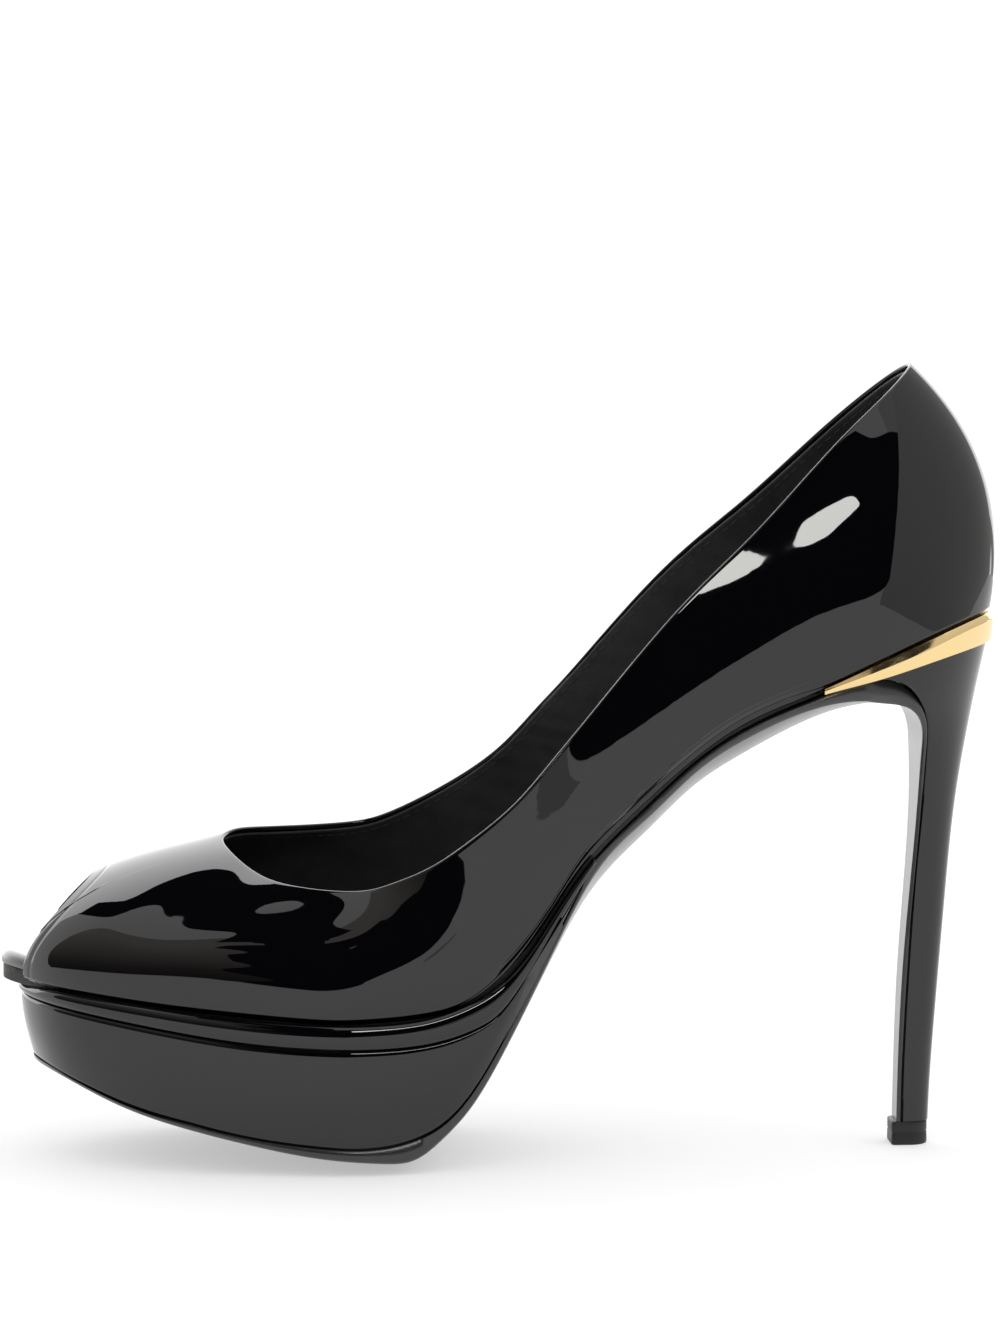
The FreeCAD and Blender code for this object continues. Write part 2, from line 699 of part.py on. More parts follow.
def heel_section(z, inward):
    """Closed section of the heel column: flat sides, half-ellipse back."""
    half = HEEL_HALF_WIDTH.at(z) - inward
    rear = HEEL_REAR.at(z) - inward
    shoulder = HEEL_REAR.at(z) - HEEL_BACK_DEPTH.at(z)
    pull = QUARTER_HANDLE
    depth = rear - shoulder
    left = [(shoulder, -half), (shoulder + pull * depth, -half), (rear, -pull * half), (rear, 0)]
    right = [(x, -y) for x, y in reversed(left)]
    edges = [side_edge(z, (HEEL_SECTION_FRONT, half), (HEEL_SECTION_FRONT, -half)),
             side_edge(z, (HEEL_SECTION_FRONT, -half), left[0])]
    for quarter in (left, right):
        curve = Part.BezierCurve()
        curve.setPoles([Vector(x, y, z) for x, y in quarter])
        edges.append(curve.toShape())
    edges.append(side_edge(z, right[-1], (HEEL_SECTION_FRONT, half)))
    return Part.Wire(edges)


def side_edge(z, start, end):
    return Part.makeLine(Vector(start[0], start[1], z), Vector(end[0], end[1], z))


def heel_flare(inward):
    """Heel column that flares to the seat, long at the front so that it can be cut."""
    sections = [heel_section(z, inward) for z in HEEL_SECTION_HEIGHTS]
    return Part.makeLoft(sections, True, False)


def heel_side_prism(breast, top, gap):
    """Side view of the heel behind a breast line and under a top curve, moved back a gap."""
    start = breast[0]
    foot = breast[-1]
    back = HEEL_BACK_X
    edges = [
        side_spline(breast),
        side_line(foot, (back, foot[1])),
        side_line((back, foot[1]), (back, top.at(back))),
        top.edge(start[0], back),
        side_line((start[0], top.at(start[0])), start),
    ]
    prism = crosswise_prism(edges)
    prism.translate(Vector(gap, 0, 0))
    return prism


def make_heel_cover():
    """Patent wrap round the sides and back of the heel, open at the breast."""
    side = heel_side_prism(HEEL_BREAST[1:], STRIP_LOWER.raised(-GLUE_GAP), 2 * GLUE_GAP)
    return side.common(heel_flare(0)).cut(heel_flare(HEEL_COVER_THICKNESS))


def make_heel_block():
    """Moulded core of the heel, from the tip to the seat."""
    side = heel_side_prism(HEEL_BREAST, FEATHER_LINE.raised(-RAND_DROP), GLUE_GAP)
    body = side.common(heel_flare(HEEL_COVER_THICKNESS + GLUE_GAP))
    body = body.common(outline_prism(STRIP_WALL + 2 * GLUE_GAP))
    return body.cut(along_dowel(DOWEL_RADIUS + DRILL_CLEARANCE, -TIP_PIN_DROP,
                                DOWEL_LENGTH + DRILL_CLEARANCE))


def along_dowel(radius, start, length):
    return Part.makeCylinder(radius, length - start, DOWEL_FOOT + DOWEL_LEAN * start, DOWEL_LEAN)


def make_heel_dowel():
    """Steel tube up the middle of the column."""
    tube = along_dowel(DOWEL_RADIUS, DOWEL_FOOT_GAP, DOWEL_LENGTH)
    return tube.cut(along_dowel(DOWEL_BORE_RADIUS, -1, DOWEL_LENGTH + 1))


def tip_pin_shape(clearance):
    pin = along_dowel(TIP_PIN_RADIUS + clearance, -TIP_PIN_DROP, TIP_PIN_LENGTH)
    head = along_dowel(TIP_PIN_HEAD_RADIUS + clearance, -TIP_PIN_DROP - clearance,
                       -TIP_PIN_DROP + TIP_PIN_HEAD_HEIGHT + clearance)
    return pin.fuse(head)


def make_top_piece_pin():
    return tip_pin_shape(0)


def make_top_piece():
    """Replaceable tip: flat in front, rounded behind, moulded round its pin's head."""
    half = TOP_PIECE_HALF_WIDTH
    front = TOP_PIECE_FRONT_X
    rear = TOP_PIECE_REAR_X
    shoulder = rear - half
    lines = [((shoulder, half), (front, half)), ((front, half), (front, -half)),
             ((front, -half), (shoulder, -half))]
    edges = [side_edge(0, a, b) for a, b in lines]
    edges.append(Part.Arc(Vector(shoulder, -half, 0), Vector(rear, 0, 0),
                          Vector(shoulder, half, 0)).toShape())
    body = Part.Face(Part.Wire(edges)).extrude(Vector(0, 0, TOP_PIECE_HEIGHT))
    return body.cut(tip_pin_shape(TIP_PIN_CLEARANCE))


def strip_ring(inset, share, drop):
    """Ring between the strip's lower line (share 0) and the heel seat (share 1)."""
    ring = []
    for p in outline_points(inset):
        seat = FEATHER_LINE.at(p.x) - drop
        line = STRIP_LOWER.at(max(p.x, STRIP_LOWER.points[0].x))
        lower = min(line, seat - STRIP_LEAST_HEIGHT)
        ring.append(Vector(p.x, p.y, lower + share * (seat - lower)))
    return ring


def make_heel_trim_strip():
    """Metal band round the heel seat, a thin wedge that tapers away along both sides."""
    start, end = STRIP_RIBS
    rings = [
        strip_ring(STRIP_WALL, 1, RAND_DROP + LINING_GAP),
        strip_ring(-STRIP_TOP_PROUD, 1, STRIP_DROP),
        strip_ring(-STRIP_PROUD, STRIP_RIDGE_SHARE, STRIP_DROP),
        strip_ring(STRIP_LOWER_INSET, 0, STRIP_DROP),
        strip_ring(STRIP_WALL, 0, RAND_DROP + LINING_GAP),
    ]
    faces = []
    for ring, following in zip(rings, rings[1:] + rings[:1]):
        sheet = ring_surface([ring, following])
        sheet.segment(start, end, 0, 1)
        faces.append(sheet.toShape())
    for place in (start, end):
        corners = [ring[place] for ring in rings]
        faces.append(Part.Face(Part.makePolygon(corners + corners[:1])))
    return sewn_solid(faces)


# ---------------------------------------------------------------- fasteners

def seat_fastener(x, y, sizes, clearance, direction):
    """Headed pin driven down from just under the insole board's top face.

    sizes are shaft radius, length, head radius and head height. A clearance makes the
    hole for it, which is open above the head.
    """
    radius, length, head_radius, head_height = sizes
    top = Vector(x, y, FEATHER_LINE.at(x) + BOARD_LEVELS[1] - HEAD_SINK)
    above = HOLE_RISE if clearance else 0.0
    shaft = Part.makeCylinder(radius + clearance, length + clearance, top, direction)
    head = Part.makeCylinder(head_radius + clearance, head_height + clearance + above,
                             top - direction * above, direction)
    return shaft.fuse(head)


def heel_screw_shape(clearance):
    return seat_fastener(HEEL_SCREW_X, 0, HEEL_SCREW, clearance, SEAT_DOWN)


def heel_nail_shapes(clearance):
    return [seat_fastener(x, y, HEEL_NAIL, clearance, SEAT_DOWN) for x, y in HEEL_NAIL_PLACES]


def shank_rivet_shapes(clearance):
    """Rivets square to the insole board, as long as the board and the shank are thick."""
    shapes = []
    for x in SHANK_RIVET_PLACES:
        slope = (FEATHER_LINE.at(x + 1) - FEATHER_LINE.at(x - 1)) / 2
        direction = Vector(slope, 0, -1).normalize()
        thickness = (BOARD_LEVELS[1] - HEAD_SINK + FLANGE_THICKNESS) / math.hypot(slope, 1)
        sizes = (SHANK_RIVET_RADIUS, thickness - GLUE_GAP, *SHANK_RIVET_HEAD)
        shapes.append(seat_fastener(x, 0, sizes, clearance, direction))
    return shapes


def drilled(shape, *cutters):
    for cutter in cutters:
        shape = shape.cut(cutter)
    return shape


# ---------------------------------------------------------------- assembly

def build_nodes():
    screw_hole = heel_screw_shape(DRILL_CLEARANCE)
    nail_holes = heel_nail_shapes(DRILL_CLEARANCE)
    rivet_holes = shank_rivet_shapes(DRILL_CLEARANCE)
    seat_holes = [screw_hole] + nail_holes
    return {
        "upper": drilled(make_upper(), *nail_holes),
        "lining": make_lining(),
        "heel_counter": make_heel_counter(),
        "sock_lining": insole_layer(SOCK_LEVELS),
        "insole_cushion": insole_layer(CUSHION_LEVELS),
        "insole_board": drilled(insole_layer(BOARD_LEVELS), *seat_holes, *rivet_holes),
        "forepart_filler": make_forepart_filler(),
        "shank_board": drilled(make_shank_board(), *seat_holes),
        "steel_shank": drilled(make_steel_shank(), screw_hole, *rivet_holes),
        "shank_rivets": Part.Compound(shank_rivet_shapes(0)),
        "midsole_board": make_midsole_board(),
        "rand_band": make_rand_band(),
        "platform_core": make_platform_core(),
        "platform_cover": make_platform_cover(),
        "waist_filler": make_waist_filler(),
        "outsole": make_outsole(),
        "heel_block": drilled(make_heel_block(), *seat_holes),
        "heel_cover": make_heel_cover(),
        "heel_dowel": make_heel_dowel(),
        "heel_screw": heel_screw_shape(0),
        "heel_nails": Part.Compound(heel_nail_shapes(0)),
        "heel_trim_strip": make_heel_trim_strip(),
        "top_piece": make_top_piece(),
        "top_piece_pin": make_top_piece_pin(),
    }


def main():
    os.makedirs("parts", exist_ok=True)
    for name, shape in build_nodes().items():
        box = shape.BoundBox
        print(f"{name:18s} solids {len(shape.Solids)} valid {shape.isValid()} "
              f"volume {shape.Volume:9.1f} x {box.XMin:7.1f} {box.XMax:6.1f} "
              f"y {box.YMin:6.1f} {box.YMax:5.1f} z {box.ZMin:6.1f} {box.ZMax:6.1f}")
        shape.exportStep(f"parts/{name}.step")


main()
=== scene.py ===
import math

import bmesh
import bpy
import numpy as np
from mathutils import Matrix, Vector


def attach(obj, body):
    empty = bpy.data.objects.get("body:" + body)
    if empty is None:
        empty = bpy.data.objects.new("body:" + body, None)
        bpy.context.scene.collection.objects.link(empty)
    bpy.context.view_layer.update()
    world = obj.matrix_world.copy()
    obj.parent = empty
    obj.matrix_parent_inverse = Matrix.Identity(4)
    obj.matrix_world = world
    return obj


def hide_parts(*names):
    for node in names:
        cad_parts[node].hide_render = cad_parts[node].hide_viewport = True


# A black patent platform pump with an open toe, a gilt strip round the heel seat and a
# stiletto heel, on a white studio sweep. Shapes are worked out in millimetres and turned
# into metres when a mesh is made. +X runs from toe to heel, -Y is the outer side.

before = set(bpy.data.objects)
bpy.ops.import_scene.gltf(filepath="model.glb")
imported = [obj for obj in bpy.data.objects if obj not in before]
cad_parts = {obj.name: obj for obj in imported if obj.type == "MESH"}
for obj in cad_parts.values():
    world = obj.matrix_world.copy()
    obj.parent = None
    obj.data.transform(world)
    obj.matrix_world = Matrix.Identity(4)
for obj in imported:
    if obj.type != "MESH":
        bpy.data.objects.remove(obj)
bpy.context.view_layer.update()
MM = 0.001


# ---------------- curves of the shoe

class Profile:
    """A smooth value against a position, through a few points."""

    def __init__(self, *points):
        self.place, self.value = np.array(points, float).T
        count = len(points)
        gap = np.diff(self.place)
        slope = np.diff(self.value) / gap
        system = np.eye(count)
        right = np.zeros(count)
        for i in range(1, count - 1):
            system[i, i - 1:i + 2] = gap[i - 1], 2 * (gap[i - 1] + gap[i]), gap[i]
            right[i] = 6 * (slope[i] - slope[i - 1])
        self.bend = np.linalg.solve(system, right)

    def __call__(self, x):
        x = np.clip(x, self.place[0], self.place[-1])
        i = np.clip(np.searchsorted(self.place, x) - 1, 0, len(self.place) - 2)
        gap = self.place[i + 1] - self.place[i]
        t = (x - self.place[i]) / gap
        s = 1 - t
        straight = s * self.value[i] + t * self.value[i + 1]
        curved = (s ** 3 - s) * self.bend[i] + (t ** 3 - t) * self.bend[i + 1]
        return straight + curved * gap ** 2 / 6


FEATHER_LINE = Profile(
    (-116, 41.2), (-104, 40.0), (-90, 38.9), (-69, 36.6), (-48, 34.7), (-28, 34.3),
    (-17, 35.4), (-9, 37.9), (-2, 41.8), (5, 49.3), (12, 59.6), (20, 69.9), (30, 79.6),
    (40, 88.8), (50, 95.8), (60, 100.7), (70, 104.8), (81, 110.0), (90, 113.9),
    (102, 118.3), (116, 121.6))
RAND_BOTTOM = Profile(
    (-114, 36.9), (-100, 35.6), (-83, 33.4), (-69, 31.2), (-55, 29.4), (-41, 28.5),
    (-28, 28.3), (-14, 29.7), (-7, 31.9), (-2, 34.9), (4, 42.6), (11, 53.6), (18, 64.6),
    (25, 74.0))
OUTSOLE_TOP = Profile(
    (-114, 27.8), (-103, 22.9), (-83, 15.6), (-69, 11.3), (-55, 8.2), (-41, 6.4),
    (-28, 6.1), (-20.7, 7.6), (-13.7, 11.2), (-8, 17.2), (-2, 26.7), (7, 43.5), (17, 62.9))
OUTSOLE_BOTTOM = Profile(
    (-114, 26.2), (-102, 20.4), (-83, 11.5), (-69, 7.0), (-55, 3.6), (-41, 0.9),
    (-27, -0.5), (-20, 0.2), (-14, 4.4), (-8, 10.4), (0.3, 23.7), (8.4, 39.0),
    (18.5, 56.5), (31.9, 71.2), (42.1, 81.0), (52.3, 87.8), (62.5, 93.4), (72.7, 97.9),
    (83.5, 100.5), (95, 102.2))
STRIP_LOWER = Profile(
    (60, 100.2), (69, 103.3), (81, 106.6), (92.4, 110.0), (102, 112.4), (114, 114.6))
SOLE_CURL = Profile(
    (-114, 1.5), (-95, 2.6), (-60, 3.5), (-27, 3.8), (-14, 4.3), (-6, 5.0), (6, 5.8),
    (13, 6.8), (20, 8.2), (31, 7.4), (50, 7.0), (61, 6.3), (71, 4.4), (83, 1.6), (95, 0.0))
SOLE_HALF_WIDTH = Profile(
    (-114, 12.0), (-104, 17.0), (-90, 27.0), (-70, 34.0), (-45, 37.0), (-18, 34.6),
    (6, 28.4), (27, 24.1), (48, 23.1), (68, 23.5), (95, 21.0))
SOLE_MIDDLE = Profile(
    (-114, 2.5), (-90, 1.8), (-70, 1.0), (-45, -0.3), (-18, -1.4), (6, -1.4), (27, -1.4),
    (48, -1.5), (68, -0.7), (95, 0.0))
SOLE_EDGE = Profile(
    (-116, 0.6), (-100, 0.7), (-80, 1.0), (-62, 1.7), (-48, 2.6), (-34, 4.6), (-20, 7), (0, 9),
    (95, 9))
SOLE_INSET = Profile(
    (-116, 5.6), (-109, 5.0), (-103, 4.0), (-90, 3.2), (-70, 2.8), (-30, 2.8), (0, 2.6),
    (15, 1.8), (40, 1.4), (70, 1.5), (90, 2.6), (116, 2.6))
PLATFORM_INSET = Profile(
    (-116, 2.7), (-109, 2.4), (-100, 1.1), (-85, 0.4), (-40, 0.3), (0, 0.5), (20, 0.9),
    (116, 0.9))
RAND_INSET = Profile(
    (-116, 2.2), (-109, 2.0), (-98, 0.7), (-85, -0.1), (0, -0.2), (20, 0.4), (116, 0.4))
INSOLE_INSET = Profile(
    (-116, -3.2), (-109, -1.6), (-103.5, 3.0), (-98, 3.0), (-85, 2.7), (-60, 2.4), (0, 2.3),
    (40, 2.3), (60, 3.1), (116, 3.1))

HEEL_HALF_WIDTH = Profile(
    (0, 4.2), (15, 4.3), (30, 4.6), (51, 5.2), (70, 6.5), (82, 8.5), (92, 12.0),
    (97, 15.0), (103, 19.4), (110, 23.0), (116, 24.4), (124, 25.0))
HEEL_REAR = Profile(
    (0, 96.2), (11, 96.6), (32, 98.0), (56, 99.9), (80, 102.3), (94, 104.6),
    (104, 106.5), (112, 108.2), (124, 110.6))
HEEL_BACK_DEPTH = Profile(
    (0, 4.6), (30, 4.8), (56, 5.8), (80, 9.0), (92, 13.5), (100, 19.0), (110, 25.0),
    (124, 28.0))
HEEL_FOOT_Z = 5.35
BREAST_TOP_Z = 106.4

# Side-view points of the heel's breast line and of the flap of sole leather on it, and of
# the edge of the toe opening, as (x, z). The opening's cut runs slightly askew across.
HEEL_BREAST = [
    (81, 106.4), (85.5, 106.1), (88.6, 104.7), (91.6, 101.4), (93.5, 96.9), (94.1, 90),
    (93.9, 81), (92.7, 64), (91.2, 40), (90.3, 20), (90.0, HEEL_FOOT_Z)]
FLAP_FRONT = [
    (78, 99.4), (83.5, 100.5), (87.3, 100.3), (90.4, 98.8), (92.3, 95.9), (92.9, 90),
    (92.7, 81), (91.7, 64), (89.9, 40), (89.1, 20), (88.8, HEEL_FOOT_Z)]
PEEP_EDGE = [
    (-87.6, 65.5), (-90.7, 62.1), (-94.2, 58.6), (-97.7, 54.9), (-101.8, 50.0),
    (-104.5, 44.8), (-104.9, 41.6), (-104.1, 37.8)]
PEEP_SKEW = 0.08

# Ribs of the upper from the toe along the outer side to the heel and back along the inner
# side: feather point (x, y), topline point, then the lower and the upper handle of the
# rib's curve (share of the chord, distance outwards).
THIRD = 1 / 3
RIBS = [
    ((-109, 3), (-61.3, 1.5, 69.8), (0.145, 15.1), (0.43, 11.1)),
    ((-103.5, -14), (-59.5, -6.5, 67.9), (0.16, 15.0), (0.42, 11.0)),
    ((-91, -25.8), (-55.5, -14, 65.2), (0.2, 13), (0.4, 9)),
    ((-72, -33.2), (-47.8, -22, 62.7), (THIRD, 10), (THIRD, 7)),
    ((-46, -37.6), (-34, -28.5, 61.9), (THIRD, 6.5), (THIRD, 4.5)),
    ((-32, -38.2), (-25.5, -31.9, 63.9), (THIRD, 5.2), (THIRD, 3.0)),
    ((-18, -36.0), (-17, -34.1, 67.6), (THIRD, 3.2), (THIRD, 0.8)),
    ((-6, -33.1), (-8, -33.7, 73.4), (THIRD, 1.9), (THIRD, 0.5)),
    ((6, -29.7), (1.5, -32.0, 81), (THIRD, 2.0), (THIRD, 0.5)),
    ((16, -27.2), (9.6, -29.8, 89.9), (THIRD, 2.1), (THIRD, 0.6)),
    ((27, -25.5), (19, -27.4, 101), (THIRD, 2.2), (THIRD, 1.2)),
    ((48, -24.6), (37, -24.5, 122), (THIRD, 2.8), (THIRD, 1.7)),
    ((68, -24.2), (54, -22.5, 138.8), (THIRD, 3.5), (THIRD, 2.8)),
    ((87, -24.2), (71, -19.8, 157), (THIRD, 4.5), (THIRD, 4.5)),
    ((102, -15.2), (84.5, -12.3, 169.2), (THIRD, 6), (THIRD, 7)),
    ((109.3, 0), (91.2, 0, 175.4), (THIRD, 10.9), (THIRD, 10.9)),
    ((102.5, 15), (85, 12.2, 170.3), (THIRD, 6.5), (THIRD, 7)),
    ((88, 23.4), (72, 19.3, 158.5), (THIRD, 4.5), (THIRD, 4.8)),
    ((68, 22.8), (56, 22.2, 143.5), (THIRD, 3.5), (THIRD, 2.8)),
    ((48, 21.6), (38, 23.2, 127.8), (THIRD, 3.5), (THIRD, 1.5)),
    ((27, 22.8), (19, 25, 106.5), (THIRD, 4), (THIRD, 1)),
    ((16, 24.6), (9.8, 26, 96.4), (THIRD, 4.5), (THIRD, 1.7)),
    ((5, 27), (1.5, 27, 87.6), (THIRD, 5), (THIRD, 2.5)),
    ((-7, 30.4), (-8, 28.2, 80.6), (THIRD, 5.8), (THIRD, 3.3)),
    ((-18, 33.2), (-17, 29, 75.6), (THIRD, 6.5), (THIRD, 4)),
    ((-31, 35.9), (-25.5, 29, 71.9), (THIRD, 7.2), (THIRD, 5)),
    ((-44, 37), (-34, 28, 70.4), (THIRD, 8), (THIRD, 6)),
    ((-68, 35.2), (-48, 21.5, 70.4), (THIRD, 11.5), (THIRD, 8)),
    ((-88, 29.5), (-56, 13.5, 71.1), (0.2, 13.5), (0.4, 9.5)),
    ((-102.5, 18), (-59.8, 7.8, 70.9), (0.16, 15.2), (0.42, 11.2)),
]
RIB_COUNT = len(RIBS)
HEEL_RIB = 15
FEATHER_POINTS = np.array([rib[0] for rib in RIBS], float)


def unit(vectors):
    return vectors / np.linalg.norm(vectors, axis=-1, keepdims=True)


def outward_in_plan():
    """Unit vectors in plan that point out of the shoe, one at each rib."""
    along = np.roll(FEATHER_POINTS, -1, axis=0) - np.roll(FEATHER_POINTS, 1, axis=0)
    return unit(np.stack([along[:, 1], -along[:, 0]], axis=1))


OUTWARD = outward_in_plan()


def rib_controls():
    """Control points of every rib's curve, from the feather line to the topline."""
    controls = np.zeros((RIB_COUNT, 4, 3))
    for rib, ((x, y), top, low_handle, high_handle) in enumerate(RIBS):
        foot = np.array([x, y, FEATHER_LINE(x)])
        crest = np.array(top, float)
        chord = crest - foot
        along = unit(chord)
        flat = np.append(OUTWARD[rib], 0)
        out = unit(flat - along * flat.dot(along))
        controls[rib] = (foot, foot + chord * low_handle[0] + out * low_handle[1],
                         crest - chord * high_handle[0] + out * high_handle[1], crest)
    return controls


def ring_poles(points):
    """Poles of the closed even cubic spline that passes through the points."""
    count = len(points)
    identity = np.eye(count)
    system = 4 * identity + np.roll(identity, 1, axis=1) + np.roll(identity, -1, axis=1)
    return np.linalg.solve(system, 6 * points)


def ring_at(poles, u):
    """Points of the closed spline at parameters u, where rib k is at u = k."""
    start = np.floor(u).astype(int)
    t = (u - start)[:, None]
    weights = ((1 - t) ** 3, 3 * t ** 3 - 6 * t ** 2 + 4,
               -3 * t ** 3 + 3 * t ** 2 + 3 * t + 1, t ** 3)
    return sum(poles[(start + j - 1) % len(poles)] * weight
               for j, weight in enumerate(weights)) / 6


CONTROL_POLES = [ring_poles(rib_controls()[:, row]) for row in range(4)]


def outline(inset, u):
    """Plan points of the feather line at u, moved in by inset, a number or a Profile."""
    distance = inset(FEATHER_POINTS[:, 0]) if callable(inset) else inset
    points = FEATHER_POINTS - OUTWARD * np.reshape(distance, (-1, 1))
    return ring_at(ring_poles(points), u)


def wall_points(u, v):
    """Outer surface of the upper at u (n) and v (n, m), v running up from 0 to 1."""
    rows = [ring_at(poles, u)[:, None] for poles in CONTROL_POLES]
    v = v[..., None]
    s = 1 - v
    return s ** 3 * rows[0] + 3 * s * s * v * rows[1] + 3 * s * v * v * rows[2] + v ** 3 * rows[3]


def wall_frame(u, v):
    """Points, outward normals and upward directions of the upper's outer surface."""
    step = 0.002
    points = wall_points(u, v)
    up = unit(wall_points(u, v + step) - wall_points(u, v - step))
    along = wall_points(u + step, v) - wall_points(u - step, v)
    return points, unit(np.cross(along, up)), up


def behind_peep_edge(points):
    """How far behind the edge of the toe opening points lie, along X."""
    xs, zs = np.array(PEEP_EDGE[::-1]).T
    edge = Profile(*zip(zs, xs))(points[..., 2])
    return points[..., 0] - edge - PEEP_SKEW * points[..., 1]


def toe_opening_share(u):
    """v at which each column of the upper comes out of the toe opening, 0 elsewhere."""
    shares = np.linspace(0, 0.75, 601)
    grid = wall_points(u, np.tile(shares, (len(u), 1)))
    open_part = (behind_peep_edge(grid) < 0) & (grid[..., 2] < PEEP_EDGE[0][1])
    from_top = open_part[:, ::-1].argmax(axis=1)
    last = np.where(open_part.any(axis=1), len(shares) - 1 - from_top, 0)
    return shares[last]


def column_lengths(u):
    """Straight distance from the feather line to the topline at each column."""
    return np.linalg.norm(ring_at(CONTROL_POLES[3], u) - ring_at(CONTROL_POLES[0], u), axis=1)


# ---------------- mesh helpers

def finish_mesh(name, vertices, faces, sharp=None):
    """Object from points in millimetres, shaded smooth, with its normals outwards."""
    mesh = bpy.data.meshes.new(name)
    mesh.from_pydata((np.asarray(vertices) * MM).tolist(), [], faces)
    work = bmesh.new()
    work.from_mesh(mesh)
    bmesh.ops.remove_doubles(work, verts=work.verts, dist=1e-6)
    bmesh.ops.dissolve_degenerate(work, dist=1e-7, edges=work.edges)
    bmesh.ops.recalc_face_normals(work, faces=work.faces)
    work.to_mesh(mesh)
    work.free()
    mesh.shade_smooth()
    if sharp:
        mesh.set_sharp_from_angle(angle=math.radians(sharp))
    thing = bpy.data.objects.new(name, mesh)
    bpy.context.scene.collection.objects.link(thing)
    return thing


def grid_faces(rows, columns, close_rows, close_columns, first=0):
    faces = []
    for i in range(rows if close_rows else rows - 1):
        for j in range(columns if close_columns else columns - 1):
            a = i * columns + j
            b = i * columns + (j + 1) % columns
            c = ((i + 1) % rows) * columns + (j + 1) % columns
            d = ((i + 1) % rows) * columns + j
            faces.append([first + k for k in (a, b, c, d)])
    return faces


def loft(name, loops, closed=False, sharp=None):
    """Solid through closed loops of points (n, m, 3), capped at both ends unless closed."""
    rows, columns = loops.shape[:2]
    faces = grid_faces(rows, columns, closed, True)
    if not closed:
        faces.append(list(range(columns)))
        faces.append([(rows - 1) * columns + j for j in range(columns)])
    return finish_mesh(name, loops.reshape(-1, 3), faces, sharp)


def piece(thing, slot, material, *nodes):
    """Gives a made object its material and its body, and hides the nodes it stands for; the slot
    argument is not used.
    """
    thing.data.materials.clear()
    thing.data.materials.append(material)
    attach(thing, "root")
    if nodes:
        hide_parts(*nodes)
    return thing


def smooth_step(x, low, high):
    t = np.clip((x - low) / (high - low), 0, 1)
    return t * t * (3 - 2 * t)


def between(x, start, end):
    """1 between two soft limits, each a pair of values, and 0 outside them."""
    return smooth_step(x, *start) * (1 - smooth_step(x, *end))


# ---------------- upper and lining

UPPER_THICKNESS = 1.1
LINING_THICKNESS = 0.8
LINING_GAP = 1.16
LINING_DROP = 1.15
COUNTER_SPACE = 0.79
COUNTER_START_U = (10, 11.5)
COUNTER_END_U = (18.5, 20)
WRINKLE_DEPTH = 0.16
WRINKLE_START_X = (-20, 5)
WRINKLE_END_X = (45, 75)
FOOT_ROUNDING = 1.0
FOOT_ROUNDING_HEIGHT = 1.3
WAIST_FOLD_HEIGHT = 2.7
WAIST_FOLD_DEPTH = 1.5
WAIST_START_X = (-14, 8)
WAIST_END_X = (62, 72)
HEEL_PART_X = 60
TOE_PART_X = -80
CREASE_SIZE = 0.28
SEAM_DEPTH = 0.22
SEAM_HALF_WIDTH = 0.35
TOE_LINE_GAP = 1.7
TOE_LINE_HALF_WIDTH = 0.3
TOE_LINE_DEPTH = 0.1
# How far in and how far down the last rows of the wall's foot are tucked.
FOOT_TUCK = ((1.1, 0.9), (0.8, 0.75), (0.5, 0.5), (0.2, 0.25))


def column_parameters():
    """u of the wall's columns: closer together round the toe opening and the back seam."""
    even = np.arange(0, RIB_COUNT, 1 / 14)
    toe = np.concatenate([np.arange(0, 3, 1 / 40), np.arange(28, 30, 1 / 40)])
    seam = HEEL_RIB + np.linspace(-0.14, 0.14, 33)
    return np.unique(np.round(np.concatenate([even, toe, seam]), 5))


def rounded_shell(u, v_low, v_high, outer_depth, inner_depth, outer_rows, inner_rows):
    """Loops of a wall between two depths, with round edges at its top and its cut foot.

    outer_depth and inner_depth take the points of a grid and give depths of its shape.
    """
    def side(row_shares, depth):
        shares = v_low[:, None] + (v_high - v_low)[:, None] * row_shares
        points, normals, ups = wall_frame(u, shares)
        return points - normals * depth(u, points)[..., None], ups

    def fold(start, end, direction):
        middle = (start + end) / 2
        radius = np.linalg.norm(end - start, axis=1, keepdims=True) / 2
        turns = np.radians(np.arange(18, 180, 18))
        return np.stack([middle + (start - middle) * math.cos(turn)
                         + direction * radius * math.sin(turn) for turn in turns], axis=1)

    rows = np.linspace(0, 1, outer_rows)
    outer, ups = side(0.35 * rows + 0.65 * rows ** 2, outer_depth)
    inner, _ = side(np.linspace(1, 0, inner_rows), inner_depth)
    top = fold(outer[:, -1], inner[:, 0], ups[:, -1])
    foot = fold(inner[:, -1], outer[:, 0], -ups[:, 0])
    return np.concatenate([outer, top, inner, foot], axis=1)


def groove(distance, half_width, depth):
    return depth * np.exp(-(distance / half_width) ** 2)


